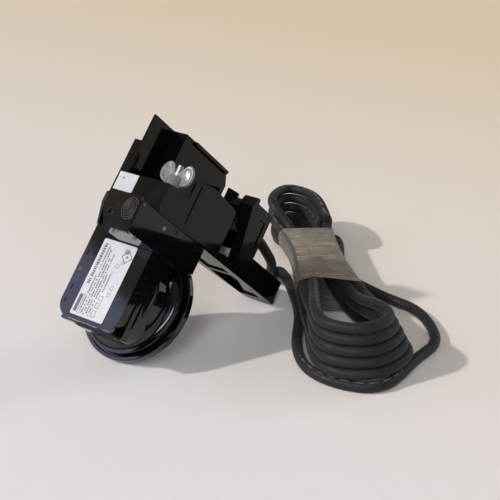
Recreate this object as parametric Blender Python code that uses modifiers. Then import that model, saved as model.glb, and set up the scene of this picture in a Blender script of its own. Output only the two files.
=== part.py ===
"""Pond-filter control head with its mains lead, resting on a table.

A domed, moulded head (round skirt, raised label block) joins through a neck to a long
open-topped chassis that hooks over a container wall and is clamped there by a wing nut.
The lead is a hank of rubber cable lying beside the head.

Head frame (millimetres): x to the right of the label, y up the label towards the chassis,
z out of the label face; the dome axis is the z axis.  In comments on the head, front is +z,
rear is -z, up is +y and left is -x.  The frame is tilted about world X so that the bayonet
ring and the tail of the chassis both touch Z = 0.
World origin: on the table, under the middle of the whole assembly's bounding box.
"""
import math

import bmesh
import bpy
import numpy as np
from mathutils import Matrix, Vector

MM = 0.001

# ---- driving dimensions, mm; pairs are (low, high) spans along one axis -----------------
GAP = 0.3                     # clearance between fitted parts
WALL = 2.5                    # shell thickness
DOME_R = 50.9                 # outside radius at the dome's open end
DOME_Z = -61.5                # dome's open end
RING_R = 61.5                 # bayonet ring outside radius
RING_Z = (-65.2, -57.4)
NECK_X = (-20.0, 43.8)
NECK_Y = (40.3, 72.0)
NECK_Z = (-65.0, 41.0)
BASE_Y = (72.3, 77.2)         # base plate thickness
FRAME_Y = BASE_Y[1] + GAP     # lower edge of everything standing on the base plate
FRONT_Z = 25.0                # chassis front face
TAIL_Z = -217.0               # chassis rear end
SIDE_X = 43.2                 # outside of the chassis right wall
TOWER_Z = (-147.0, -100.3)
CABLE_D = 10.4

# The head rests on the ring's lower edge and on the tail's lower edge.
TILT = math.atan2(RING_Z[0] - TAIL_Z, BASE_Y[0] + RING_R)
REST_H = RING_R * math.sin(TILT) - RING_Z[0] * math.cos(TILT)

for old in list(bpy.data.objects):
    bpy.data.objects.remove(old, do_unlink=True)

scene = bpy.context.scene
parts = bpy.data.collections.new("control_head")
tools = bpy.data.collections.new("cutters")
scene.collection.children.link(parts)
scene.collection.children.link(tools)


def empty(name, parent=None, location=(0, 0, 0), rotation=(0, 0, 0)):
    frame = bpy.data.objects.new(name, None)
    frame.location = Vector(location) * MM
    frame.rotation_euler = rotation
    frame.parent = parent
    parts.objects.link(frame)
    return frame


# PLACE carries everything and is moved last, to centre the whole assembly.
PLACE = empty("placement")
HEAD = empty("head_frame", PLACE, (0, 0, REST_H), (TILT, 0, 0))


# ---- materials --------------------------------------------------------------------------
def material(name, color, roughness, metallic=0.0):
    mat = bpy.data.materials.new(name)
    mat.use_nodes = True
    shader = mat.node_tree.nodes["Principled BSDF"]
    shader.inputs["Base Color"].default_value = (*color, 1.0)
    shader.inputs["Roughness"].default_value = roughness
    shader.inputs["Metallic"].default_value = metallic
    mat.diffuse_color = (*color, 1.0)
    return mat


GLOSS = material("black_gloss_abs", color=(0.012, 0.012, 0.013), roughness=0.12)
SATIN = material("black_satin_abs", color=(0.03, 0.03, 0.031), roughness=0.35)
RUBBER = material("black_rubber", color=(0.035, 0.036, 0.037), roughness=0.6)
WHITE = material("white_film", color=(0.85, 0.85, 0.83), roughness=0.35)
NYLON = material("natural_nylon", color=(0.82, 0.80, 0.70), roughness=0.35)
FILM = material("clear_film", color=(0.62, 0.58, 0.52), roughness=0.25)
STEEL = material("zinc_steel", color=(0.62, 0.62, 0.60), roughness=0.3, metallic=1.0)
COPPER = material("enamelled_copper", color=(0.55, 0.22, 0.09), roughness=0.3, metallic=1.0)
IRON = material("core_iron", color=(0.20, 0.20, 0.21), roughness=0.5, metallic=1.0)
BOARD = material("board_green", color=(0.03, 0.16, 0.07), roughness=0.45)
GREY = material("grey_moulding", color=(0.32, 0.33, 0.34), roughness=0.5)


# ---- spans ------------------------------------------------------------------------------
def around(middle, half):
    return (middle - half, middle + half)


def inset(span, margin):
    return (span[0] + margin, span[1] - margin)


# ---- shape makers: millimetres in, a mesh in metres out -----------------------------------
def to_mesh(bm):
    bmesh.ops.recalc_face_normals(bm, faces=bm.faces)
    bmesh.ops.scale(bm, vec=(MM, MM, MM), verts=bm.verts)
    mesh = bpy.data.meshes.new("shape")
    bm.to_mesh(mesh)
    bm.free()
    return mesh


def box(x, y, z, radius=0.0, segments=1, low_y_only=False):
    """Box over three spans; a radius rounds its z-parallel edges, or only the two at low y."""
    bm = bmesh.new()
    spans = (x, y, z)
    middle = [(low + high) / 2 for low, high in spans]
    size = [high - low for low, high in spans]
    bmesh.ops.create_cube(bm, size=1.0,
                          matrix=Matrix.Translation(middle) @ Matrix.Diagonal((*size, 1.0)))
    if radius > 0:
        picked = []
        for edge in bm.edges:
            start, end = (vert.co for vert in edge.verts)
            if abs(start.z - end.z) > 1e-6 and (not low_y_only or abs(start.y - y[0]) < 1e-6):
                picked.append(edge)
        bmesh.ops.bevel(bm, geom=picked, offset=radius, segments=segments, profile=0.5,
                        affect='EDGES')
    return to_mesh(bm)


AXIS_TURN = {"x": Matrix.Rotation(math.pi / 2, 4, 'Y'),
             "y": Matrix.Rotation(-math.pi / 2, 4, 'X'),
             "z": Matrix.Identity(4)}


def cyl(start, axis, radius, length, segments, end_radius=None):
    """Cylinder or cone from the start point along an axis; length may be negative."""
    bm = bmesh.new()
    middle = Vector(start)
    middle["xyz".index(axis)] += length / 2
    bmesh.ops.create_cone(bm, cap_ends=True, segments=segments, radius1=radius,
                          radius2=radius if end_radius is None else end_radius,
                          depth=abs(length),
                          matrix=Matrix.Translation(middle) @ AXIS_TURN[axis])
    return to_mesh(bm)


def turned(profile, segments):
    """Closed (radius, z) profile turned about the z axis."""
    bm = bmesh.new()
    loops = []
    for i in range(segments):
        angle = 2 * math.pi * i / segments
        loops.append([bm.verts.new((r * math.cos(angle), r * math.sin(angle), z))
                      for r, z in profile])
    for i in range(segments):
        here, there = loops[i], loops[(i + 1) % segments]
        for j in range(len(profile)):
            k = (j + 1) % len(profile)
            bm.faces.new((here[j], there[j], there[k], here[k]))
    return to_mesh(bm)


def prism(outline, axis, span):
    """Flat outline extruded over a span of the axis; its points give the other two
    coordinates in x, y, z order."""
    bm = bmesh.new()
    index = "xyz".index(axis)
    corners = []
    for point in outline:
        corner = list(point)
        corner.insert(index, span[0])
        corners.append(bm.verts.new(corner))
    extruded = bmesh.ops.extrude_face_region(bm, geom=[bm.faces.new(corners)])
    shift = Vector((0, 0, 0))
    shift[index] = span[1] - span[0]
    moved = [item for item in extruded["geom"] if isinstance(item, bmesh.types.BMVert)]
    bmesh.ops.translate(bm, vec=shift, verts=moved)
    return to_mesh(bm)


def hull(points):
    """Convex solid through a few corner points."""
    bm = bmesh.new()
    for point in points:
        bm.verts.new(point)
    bmesh.ops.convex_hull(bm, input=bm.verts[:])
    loose = [vert for vert in bm.verts if not vert.link_faces]
    if loose:
        bmesh.ops.delete(bm, geom=loose, context='VERTS')
    return to_mesh(bm)


# ---- object makers ----------------------------------------------------------------------
def add_part(name, data, mat, parent):
    part = bpy.data.objects.new(name, data)
    part.parent = parent
    parts.objects.link(part)
    data.materials.append(mat)
    return part


def solid(name, base, mat, adds=(), cuts=(), parent=HEAD):
    """A named part: base mesh, joined with adds, then cut by cuts (all in the same frame)."""
    part = add_part(name, base, mat, parent)
    steps = [("join", 'UNION', mesh) for mesh in adds]
    steps += [("cut", 'DIFFERENCE', mesh) for mesh in cuts]
    for i, (label, operation, mesh) in enumerate(steps):
        helper = bpy.data.objects.new("tool_%s_%d" % (name, i), mesh)
        helper.parent = parent
        helper.hide_render = True
        helper.display_type = 'WIRE'
        tools.objects.link(helper)
        boolean = part.modifiers.new(label, 'BOOLEAN')
        boolean.operation = operation
        boolean.solver = 'EXACT'
        boolean.object = helper
    return part


def wire(name, points, radius, mat, parent):
    """Round strand with capped ends through the points."""
    curve = bpy.data.curves.new(name, 'CURVE')
    curve.dimensions = '3D'
    spline = curve.splines.new('POLY')
    spline.points.add(len(points) - 1)
    for target, (x, y, z) in zip(spline.points, points):
        target.co = (x * MM, y * MM, z * MM, 1)
    curve.bevel_depth = radius * MM
    curve.bevel_resolution = 1
    curve.use_fill_caps = True
    add_part(name, curve, mat, parent)


# =========================================================================================
# Head housing: stepped block on a round dome, one open-ended shell
# =========================================================================================
BLOCK_X = 38.2                # label block half width
BLOCK_Y = (-45.0, 58.0)
BLOCK_D = 13.0                # depth of the front tier
REAR_TIER_X = 41.0            # rear tier half width
REAR_TIER_Y0 = -47.0
REAR_TIER_D = 38.0
BELL_R = 46.2                 # the shell just behind the tiers
FLANGE_R = 55.9               # flange over the bayonet lugs
COVE_R = 9.0
COVE_Z = -43.0                # where the cove leaves the straight bell
FACE_SCREW = (-33.5, 3.2)


def tier(half, y, z, radius, segments=6):
    return box((-half, half), y, z, radius, segments, low_y_only=True)


# Bell, (radius, z): straight behind the tiers, then a wide cove out to the flange.
cove = []
for step in range(9):
    turn = math.radians(11 * step)
    cove.append((BELL_R + COVE_R * (1 - math.cos(turn)), COVE_Z - COVE_R * math.sin(turn)))
bell = [(0.02, -25.0), (BELL_R - 2.5, -25.0), (BELL_R - 0.7, -25.7), (BELL_R, -27.5)] + cove + [
    (55.4, -52.0), (FLANGE_R, -52.5), (FLANGE_R, -57.1), (DOME_R, -57.1), (DOME_R, DOME_Z),
    (0.02, DOME_Z)]

# Clearance for the neck, and the sloped cut on its left, (x, y).
neck_room = box((NECK_X[0] - GAP, 60), (NECK_Y[0] - GAP, 90), (-80, 20))
left_slope = [(-60, 80), (-60, 61.5), (-BLOCK_X, 61.5), (-19, 41), (-19, 80)]

# Shallow grooves in the face left of the label: x span, y span.
FACE_GROOVES = [((-34.2, -32.6), (18.2, 24.6)),
                ((-33.2, -31.6), (-19.5, -13.4)),
                ((-33.6, -32.0), (-33.0, -28.6))]

solid("head_housing", tier(BLOCK_X, BLOCK_Y, (-BLOCK_D - 2, 0), 16), GLOSS,
      adds=[box(around(0, BLOCK_X + 1.4), (BLOCK_Y[0] - 0.9, 52), (-22, -BLOCK_D)),
            tier(REAR_TIER_X, (REAR_TIER_Y0, 48), (-REAR_TIER_D, -20), 20),
            turned(bell, 56)],
      cuts=[tier(BLOCK_X - WALL, inset(BLOCK_Y, WALL), (-BLOCK_D - 6, -WALL), 14, 4),
            tier(REAR_TIER_X - WALL, (REAR_TIER_Y0 + WALL, 45), (-REAR_TIER_D - 4, -17.5), 18, 4),
            cyl((0, 0, -28.5), "z", BELL_R - WALL, -40, 56),
            cyl((0, 0, -54.5), "z", DOME_R - WALL, -10, 56),
            neck_room,
            prism(left_slope, "z", (-75, 10)),
            cyl((*FACE_SCREW, 1), "z", 2.9, -2.2, 20),
            *[box(x, y, (-0.7, 1)) for x, y in FACE_GROOVES]])

solid("face_screw", cyl((*FACE_SCREW, -1.0), "z", 2.45, 0.9, 20), STEEL,
      cuts=[box(around(FACE_SCREW[0], 1.7), around(FACE_SCREW[1], 0.35), (-0.55, 1))])

solid("type_label", box((-20.4, 21.6), (-40.7, 39.3), (GAP, 0.6), 1.6, 3), WHITE)

# =========================================================================================
# Open end of the dome: gasket, plate with lamp socket, bayonet ring
# =========================================================================================
gasket = [(48.6, -62.8), (50.6, -62.8), (50.6, -61.8), (48.6, -61.8)]       # (radius, z)
solid("dome_gasket", turned(gasket, 48), RUBBER)

SOCKET = (17, 12)             # half width in x, half height in y
solid("dome_bottom_plate", cyl((0, 0, -64.9), "z", 54.6, 1.8, 48), SATIN,
      cuts=[box(around(0, SOCKET[0] + GAP), around(0, SOCKET[1] + GAP), (-70, -60)),
            cyl((37, -22, -70), "z", 3, 12, 16)])
solid("lamp_socket", box(around(0, SOCKET[0]), around(0, SOCKET[1]), (-64.8, -56.0)), GREY,
      adds=[box(around(0, SOCKET[0] + 3), around(0, SOCKET[1] + 3), (-62.8, -58.5))],
      cuts=[box(around(0, 8.5), around(0, 8.5), (-70, -60.5)),
            *[cyl((x, 0, -70), "z", 1.3, 12, 12) for x in (-11.8, 11.8)]])

RING_BORE = DOME_R + 0.4
RING_CHAMFER = 0.8
LUG_ANGLES = (232, 246, 262, 40, 130)       # degrees from +x

ring_profile = [                            # (radius, z)
    (RING_BORE, -62.5), (56.2, -62.5), (56.2, RING_Z[0]), (RING_R - RING_CHAMFER, RING_Z[0]),
    (RING_R, RING_Z[0] + RING_CHAMFER), (RING_R, RING_Z[1] - RING_CHAMFER),
    (RING_R - RING_CHAMFER, RING_Z[1]), (58.2, RING_Z[1]), (57.2, -59.6), (RING_BORE, -59.6)]


def ring_lug(angle):
    """Small block inside the ring."""
    bm = bmesh.new()
    matrix = (Matrix.Rotation(math.radians(angle), 4, 'Z')
              @ Matrix.Translation((54.6, 0, -59.4))
              @ Matrix.Diagonal((3.4, 6.0, 3.0, 1)))
    bmesh.ops.create_cube(bm, size=1.0, matrix=matrix)
    return to_mesh(bm)


solid("bayonet_ring", turned(ring_profile, 48), GLOSS,
      adds=[ring_lug(angle) for angle in LUG_ANGLES], parent=empty("ring_axis", HEAD))

# =========================================================================================
# Transformer and control board inside the head
# =========================================================================================
core_profile = [(21, -51), (34.0, -51), (34.0, -23), (21, -23)]             # (radius, z)
winding_profile = [                                                         # (radius, z)
    (16.5, -55), (37.9, -55), (37.9, -19), (16.5, -19), (16.5, -30), (18.5, -30),
    (18.5, -21), (36.0, -21), (36.0, -53), (18.5, -53), (18.5, -44), (16.5, -44)]
solid("transformer_core", turned(core_profile, 32), IRON)
solid("transformer_winding", turned(winding_profile, 24), COPPER)
solid("transformer_dish", cyl((0, 0, -18.6), "z", 26, 1.2, 32), STEEL,
      cuts=[cyl((0, 0, -22), "z", 3.4, 8, 16)])
solid("transformer_bolt", cyl((0, 0, -54.5), "z", 3.0, 38.4, 16), STEEL,
      adds=[cyl((0, 0, -17.0), "z", 5.6, 3.0, 6)])

BOARD_Z = (-13.2, -11.6)
MOUNT_Z = BOARD_Z[1] + GAP    # underside of the block-shaped components
solid("control_board", box(around(0, 30), (-34, 32), BOARD_Z), BOARD,
      cuts=[cyl((0, 0, -20), "z", 7.0, 12, 20), box((14, 40), (-50, -26), (-20, 0))])
solid("relay", box((-27, -12), (-28, -8), (MOUNT_Z, -3.2)), WHITE)
for i, x in enumerate((14, 23)):
    solid("capacitor_%d" % (i + 1), cyl((x, -18, -7.2), "y", 3.7, 14, 20), SATIN)
solid("fuse_holder", box((-27, -3), (14, 24), (MOUNT_Z, -4.0)), GREY,
      cuts=[box((-24, -6), (16.5, 21.5), (-8, 0))])

# =========================================================================================
# Neck with release latch
# =========================================================================================
NECK_MAIN_X = (-0.8, NECK_X[1])   # tall right part; the low part reaches left to NECK_X[0]
NECK_LOW_Z1 = 2.0                 # front of the low part
CHEEK_Z = 49.5                    # front of the cheeks either side of the latch
LATCH_X = (2.2, 41.0)
CHEEK_X = LATCH_X[1] + 0.4        # inner side of the right cheek
PIVOT = (0, 70.0, 44.6)           # hinge line of the latch, along x
NECK_SCREW = (63.5, 5.0)          # y, z


def passage(y, length):
    """Cutter for the round hole along y shared by the neck, base plate and frame."""
    return cyl((12, y, -20), "y", 6, length, 20)


# Left cheek, (y, z).
left_cheek = [(NECK_Y[0], 38), (NECK_Y[0], 43.5), (58, CHEEK_Z), (NECK_Y[1], CHEEK_Z),
              (NECK_Y[1], 38)]
# Sloped shoulder left of the left cheek, (x, y, z).
shoulder = [
    (-20.6, NECK_Y[1], 0), (-20.6, NECK_Y[1], 24.6), (-4.5, NECK_Y[1], 46.5),
    (0, NECK_Y[1], 47.5), (0, NECK_Y[1], 0), (0, 58.5, 0), (0, 58.5, 46.5),
    (-4.5, 60.5, 46.5), (-14, 67, 30), (-20, 68, 12), (-20, 64, 0)]

solid("neck_housing", box(NECK_MAIN_X, NECK_Y, NECK_Z), GLOSS,
      adds=[box((CHEEK_X, NECK_X[1]), NECK_Y, (38, CHEEK_Z)),
            prism(left_cheek, "x", (NECK_MAIN_X[0], LATCH_X[0] - 0.4)),
            cyl((CHEEK_X, PIVOT[1] - 0.5, PIVOT[2]), "x", 3.2, NECK_X[1] - CHEEK_X, 16),
            box((NECK_X[0], 2), NECK_Y, (NECK_Z[0], NECK_LOW_Z1)),
            hull(shoulder)],
      cuts=[box(inset(NECK_MAIN_X, WALL), inset(NECK_Y, WALL), inset(NECK_Z, WALL)),
            box((NECK_X[0] + WALL, 4), inset(NECK_Y, WALL),
                inset((NECK_Z[0], NECK_LOW_Z1), WALL)),
            cyl((0, 0, -56.9), "z", RING_R + 0.9, -20, 48),          # room for the ring
            passage(66, 12),
            cyl((12, 30, -30), "y", 6, 16, 20),
            cyl((NECK_X[1] - 1.2, *NECK_SCREW), "x", 3.0, 5, 20),
            cyl((-5, *PIVOT[1:]), "x", 1.55, 60, 16),
            box((NECK_X[1] - 0.8, NECK_X[1] + 1), (66.4, 70.2), (-15.5, -6.5))])
solid("neck_screw", cyl((NECK_X[1] - 0.9, *NECK_SCREW), "x", 2.5, 1.0, 20), STEEL,
      cuts=[box((NECK_X[1] - 0.5, NECK_X[1] + 2), around(NECK_SCREW[0], 2.5),
                around(NECK_SCREW[1], 0.35))])
solid("latch_pin", cyl((-0.6, *PIVOT[1:]), "x", 1.5, NECK_X[1] - 0.2, 16), STEEL)

latch_axis = empty("latch_axis", HEAD, PIVOT)


def in_latch_frame(mesh):
    mesh.transform(Matrix.Translation(-Vector(PIVOT) * MM))
    return mesh


# Latch plate, (x, y), on two bosses that turn on the pin.
latch_outline = [(LATCH_X[0], 75.6), (LATCH_X[0], 56), (13.0, 39.2), (LATCH_X[1], 39.2),
                 (LATCH_X[1], 75.6)]
BOSS_LEFTS = (4.5, 32.5)
BOSS_W = 6
latch_adds = [cyl((x, *PIVOT[1:]), "x", 3.1, BOSS_W, 20) for x in BOSS_LEFTS]
latch_adds += [box((x, x + BOSS_W), around(PIVOT[1], 2.4), (PIVOT[2], 48)) for x in BOSS_LEFTS]
latch_cuts = [cyl(PIVOT, "x", 1.6, 45, 20), cyl((13.6, 54.1, 48.5), "z", 2.6, 3, 20)]
solid("release_latch", in_latch_frame(prism(latch_outline, "z", (47.2, 49.4))), GLOSS,
      adds=[in_latch_frame(mesh) for mesh in latch_adds],
      cuts=[in_latch_frame(mesh) for mesh in latch_cuts], parent=latch_axis)

# Torsion spring: coils round the pin, both straight legs run down behind the plate.
SPRING_X = 15.0
SPRING_R = 2.05
SPRING_TURNS = 6
SPRING_PITCH = 1.25
SPRING_STEPS = 8              # points per turn
spring = [(SPRING_X, -9.0, 1.8)]
for i in range(SPRING_TURNS * SPRING_STEPS + 1):
    turn = 2 * math.pi * i / SPRING_STEPS + math.pi / 2
    spring.append((SPRING_X + SPRING_PITCH * i / SPRING_STEPS,
                   SPRING_R * math.cos(turn), SPRING_R * math.sin(turn)))
spring.append((SPRING_X + SPRING_PITCH * SPRING_TURNS, -10.0, 1.8))
wire("latch_spring", spring, 0.4, STEEL, latch_axis)

# =========================================================================================
# Chassis: base plate, frame and tray cover
# =========================================================================================
LEFT_X = -21                  # left edge of the front part
FRAME_X = -12.4               # left wall of the narrower part behind it
TRAY_X = 7.3                  # outside of the tray's left wall
STEP_Z = -9.7                 # where the left wall steps in to the tray
REAR_Z = -100.0               # rear of the frame
WALL_END_Z = -88              # rear of the right wall
TOP_Y = 165.0
FLOOR_Y = 102.0               # top of the tray cover
WINDOW = ((20, 34), (84, 94))     # x, y of the opening between tray and tower

base_outline = [(LEFT_X, FRONT_Z), (44.4, FRONT_Z), (44.4, TAIL_Z), (6, TAIL_Z), (-6, -110),
                (-6, -12), (LEFT_X, -12)]                                   # (x, z)
solid("base_plate", prism(base_outline, "y", BASE_Y), GLOSS,
      cuts=[passage(66, 16),
            *[box((5, 34), (70, 74.0), z) for z in ((-205, -140), (-134, -75))]])

tray_wall_x = (TRAY_X - WALL, TRAY_X)
# Wall outlines, (y, z).
tray_left_wall = [(FRAME_Y, STEP_Z), (TOP_Y, STEP_Z), (TOP_Y, -91), (152, REAR_Z),
                  (FRAME_Y, REAR_Z)]
tray_left_rim = [(161.5, STEP_Z - 16), (TOP_Y, STEP_Z - 16), (TOP_Y, -91), (161.5, -91)]
right_wall = [(FRAME_Y, FRONT_Z), (FLOOR_Y - GAP, FRONT_Z), (FLOOR_Y - GAP, -10.5), (121, -10.5),
              (128, -40), (126, -80), (124, WALL_END_Z), (FRAME_Y, WALL_END_Z)]

solid("chassis_frame", box((FRAME_X, SIDE_X), (FRAME_Y, 80.0), (REAR_Z, FRONT_Z)), GLOSS,
      adds=[box((LEFT_X, FRAME_X + 1), (FRAME_Y, 136), (STEP_Z - 3, FRONT_Z)),
            box((FRAME_X, FRAME_X + WALL), (FRAME_Y, TOP_Y), (STEP_Z - WALL, FRONT_Z)),
            box((FRAME_X, TRAY_X), (FRAME_Y, TOP_Y), (STEP_Z - WALL, STEP_Z)),
            prism(tray_left_wall, "x", tray_wall_x),
            prism(tray_left_rim, "x", (tray_wall_x[0], TRAY_X + 3.0)),
            box((LEFT_X, SIDE_X), (FRAME_Y, FLOOR_Y - GAP), (FRONT_Z - WALL, FRONT_Z)),
            prism(right_wall, "x", (SIDE_X - WALL, SIDE_X)),
            box((SIDE_X - 8, SIDE_X), (FRAME_Y, 124), (WALL_END_Z, WALL_END_Z + WALL)),
            box((tray_wall_x[0], SIDE_X - 8), (FRAME_Y, 118), (REAR_Z, REAR_Z + WALL))],
      cuts=[box((LEFT_X + WALL, FRAME_X), (81, 133.5), (STEP_Z - 6, FRONT_Z - WALL)),
            passage(70, 16),
            box((SIDE_X - 0.9, SIDE_X + 1), (80, 120.5), (-21.6, -19.2)),
            box(*WINDOW, (REAR_Z - 2, REAR_Z + 4))])

STUD_X, STUD_Z = 24.5, -1.0       # clamp stud axis, along y
cover_y = (FLOOR_Y - 2.2, FLOOR_Y)
cover_right = SIDE_X - WALL - GAP
solid("tray_cover",
      box((TRAY_X + GAP, cover_right), cover_y, (REAR_Z + WALL + GAP, STEP_Z + 4)), SATIN,
      adds=[box((FRAME_X + WALL + GAP, cover_right), cover_y,
                (STEP_Z + GAP, FRONT_Z - WALL - GAP)),
            cyl((STUD_X, FLOOR_Y - 1, STUD_Z), "y", 9, 2.6, 24)],
      cuts=[cyl((STUD_X, 90, STUD_Z), "y", 3.2, 30, 20),
            box((SIDE_X - 8 - GAP, SIDE_X), (90, 110), (-101, WALL_END_Z + WALL + GAP))])

COVER_SCREWS = ((-4.5, 14), (34, 14), (14, -88), (34, -76))                 # (x, z)
for i, (x, z) in enumerate(COVER_SCREWS):
    solid("cover_screw_%d" % (i + 1), cyl((x, FLOOR_Y + GAP, z), "y", 2.8, 1.6, 16), STEEL,
          cuts=[box(around(x, 4), (FLOOR_Y + 1.2, FLOOR_Y + 3), around(z, 0.4))])

# Ballast and starter under the tray cover; the coil passes through two slots in the core.
CORE_SLOT_Y = (86.5, 92.7)
CORE_SLOTS_Z = ((-76, -68), (-58, -50))
COIL_X = (7.8, 39.8)
solid("ballast_core", box((10, 38), (80.6, 98.6), (-84, -42)), IRON,
      cuts=[box((4, 44), CORE_SLOT_Y, z) for z in CORE_SLOTS_Z])
coil_y = inset(CORE_SLOT_Y, GAP)
rear_run_z, front_run_z = (inset(z, GAP) for z in CORE_SLOTS_Z)
coil_z = (rear_run_z[0], front_run_z[1])
solid("ballast_coil", box(COIL_X, coil_y, rear_run_z), COPPER,
      adds=[box((COIL_X[0], 9.7), coil_y, coil_z),
            box((38.3, COIL_X[1]), coil_y, coil_z),
            box(COIL_X, coil_y, front_run_z)])
solid("starter", cyl((26, 89.5, -36), "z", 7.5, 22, 24), WHITE)

# =========================================================================================
# Wing-nut clamp: stud through the cover, washer and nut ride on it
# =========================================================================================
solid("clamp_stud", cyl((STUD_X, 96.4, STUD_Z), "y", 3.0, 32.5, 16), STEEL,
      adds=[cyl((STUD_X, 93.4, STUD_Z), "y", 6.2, 3.2, 6)])
nut_axis = empty("nut_axis", HEAD, (STUD_X, 104.0, STUD_Z))
solid("clamp_washer", cyl((0, 0.2, 0), "y", 8.5, 1.4, 28), NYLON,
      cuts=[cyl((0, -3, 0), "y", 3.3, 8, 20)], parent=nut_axis)

WING_LIFT = 1.0               # wings start this far up the nut
# Both wings, (x, y above WING_LIFT).
WINGS = [(-4.5, 0.0), (4.5, 0.0), (7.5, 4.0), (15.0, 9.0), (17.3, 15.0), (16.8, 20.5),
         (14.0, 24.0), (10.0, 25.0), (6.4, 23.2), (3.4, 19.0), (0.0, 15.0), (-3.4, 19.0),
         (-6.4, 23.2), (-10.0, 25.0), (-14.0, 24.0), (-16.8, 20.5), (-17.3, 15.0),
         (-15.0, 9.0), (-7.5, 4.0)]
nut_turn = empty("nut_turn", nut_axis, (0, 2.0, 0), (0, math.radians(12), 0))
wing_nut = solid("wing_nut", cyl((0, 0, 0), "y", 8.2, 11.5, 28, end_radius=7.0), NYLON,
                 adds=[prism([(x, y + WING_LIFT) for x, y in WINGS], "z", around(0, 2.1))],
                 cuts=[cyl((0, -3, 0), "y", 3.3, 40, 20)], parent=nut_turn)
nut_edges = wing_nut.modifiers.new("edges", 'BEVEL')
nut_edges.width = 0.7 * MM
nut_edges.segments = 2
nut_edges.limit_method = 'ANGLE'
nut_edges.angle_limit = math.radians(50)

# =========================================================================================
# Rear tower: terminal compartment with the cable entry, its cover and the gland
# =========================================================================================
TOWER_X = (9.0, SIDE_X)
RIDGE_Y = 152.6               # top of the tower's ridge
tower_rear, tower_front = TOWER_Z
# Left and right parts, (y, z).
tower_left = [(80.5, tower_front), (130, tower_front), (140, -106), (147, -112),
              (147, -118.5), (143, -120), (143, tower_rear), (80.5, tower_rear)]
tower_right = [(FRAME_Y, -124), (102, -121), (142, -109.5), (150, -112.5), (RIDGE_Y, -113.5),
               (RIDGE_Y, -117.2), (147.8, -118), (147.8, tower_rear), (FRAME_Y, tower_rear)]
# Wedge at the left end of the ridge, (x, z).
tower_wedge = [(TOWER_X[0], -103.5), (15.0, -113), (15.0, -118), (TOWER_X[0], -118)]

solid("rear_tower", prism(tower_left, "x", (TOWER_X[0], 30.0)), GLOSS,
      adds=[prism(tower_right, "x", (25.3, SIDE_X)),
            prism(tower_wedge, "y", (128, RIDGE_Y)),
            box(TOWER_X, (FRAME_Y, 82), TOWER_Z)],
      cuts=[box(inset(TOWER_X, WALL), (82, 140.5), (tower_rear - 3, -123.5)),
            box((TOWER_X[0] + WALL, 31.5), (82, 126), (-125, -103.5)),
            box(*WINDOW, (-110, -95)),
            box((SIDE_X - 1.2, SIDE_X + 1), (106, 136), (-143, -130.5))])

ENTRY = (26.0, 124.0)         # x, y of the cable entry


def entry_cyl(z, radius, length, segments=24):
    return cyl((*ENTRY, z), "z", radius, length, segments)


cover_z = tower_rear - GAP
solid("tower_cover", box(TOWER_X, (99.0, 147.0), (cover_z - 2.2, cover_z)), GLOSS,
      cuts=[entry_cyl(tower_rear - 6, 8.3, 12)])
solid("terminal_block", box((14, 38), (84.5, 96), (-141, -125)), WHITE,
      cuts=[cyl((18 + 8 * i, 99, -133), "y", 2.2, -8, 12) for i in range(3)])

# Gland: body through the cover, nut inside, seal round the lead.
solid("gland_body", entry_cyl(tower_rear - 14, 11.0, 11.2, 6), RUBBER,
      adds=[entry_cyl(tower_rear - 4, 8.0, 12)],
      cuts=[entry_cyl(tower_rear - 20, 6.9, 40)])
solid("gland_nut", entry_cyl(tower_rear + 0.5, 11.5, 4.0, 6), RUBBER,
      cuts=[entry_cyl(tower_rear - 4, 8.3, 14)])
solid("gland_seal", entry_cyl(tower_rear - 12, 6.6, 9), RUBBER,
      cuts=[entry_cyl(tower_rear - 20, 5.6, 40)])
solid("cord_clamp", box((14.5, 37.5), (117.0, 131.0), (-134.0, -128.0)), GREY,
      cuts=[entry_cyl(-150, 5.6, 40)])
for i, x in enumerate((17.0, 35.0)):
    solid("cord_clamp_screw_%d" % (i + 1), cyl((x, 131.3, -131.0), "y", 2.2, 1.8, 12), STEEL)

# Tail: hollow trough on the rear end of the base plate, with two tabs behind it.
solid("tail_trough", box((8.0, SIDE_X), (FRAME_Y, 98.6), (TAIL_Z, cover_z)), GLOSS,
      cuts=[box(inset((8.0, SIDE_X), WALL), (80.2, 120), inset((TAIL_Z, cover_z), WALL))])
for i, x in enumerate((30.0, 38.0)):
    solid("tail_clip_%d" % (i + 1),
          box((x, x + 4), (74.0, 80.0), (TAIL_Z - 2.0, TAIL_Z - GAP)), GLOSS)

# Sticker on the chassis front, notched at its lower right corner.
sticker_z = FRONT_Z + GAP
solid("arrow_sticker", box((-18.4, 5.4), (79.2, 100.8), (sticker_z, sticker_z + 0.3)), WHITE,
      cuts=[box((1.6, 8), (76, 82.4), (20, 30))])

# =========================================================================================
# Mains lead: from the gland down into a hank on the table (world mm, before PLACE moves)
# =========================================================================================
# Stations round one lap, strand centres (x, y, z).  At most of them the turns stand in a
# leaning wall, from LOW (the turn on the table) to TOP; at the waist, where TOP is None,
# they are gathered two wide and stacked in rows at LOW.
LOW = [(217, 101, 5), (242, 126, 5), (243, 174, 5), (214, 202, 5), (143, 230, 19),
       (94, 268, 19), (47, 313, 19), (-2, 368, 19), (-32, 374, 5), (-41, 383, 5),
       (-58, 390, 5), (-64, 377, 5), (-47, 341, 5), (-26, 332, 19), (26, 289, 19),
       (72, 233, 19), (139, 143, 5), (184, 100, 5)]
TOP = [(208, 110, 60), (224, 129, 60), (223, 155, 60), (203, 176, 56), None,
       None, None, None, (14, 364, 60), (-39, 406, 60),
       (-76, 413, 60), (-80, 387, 60), (-53, 335, 60), None, None,
       None, (148, 138, 60), (177, 108, 60)]
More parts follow.
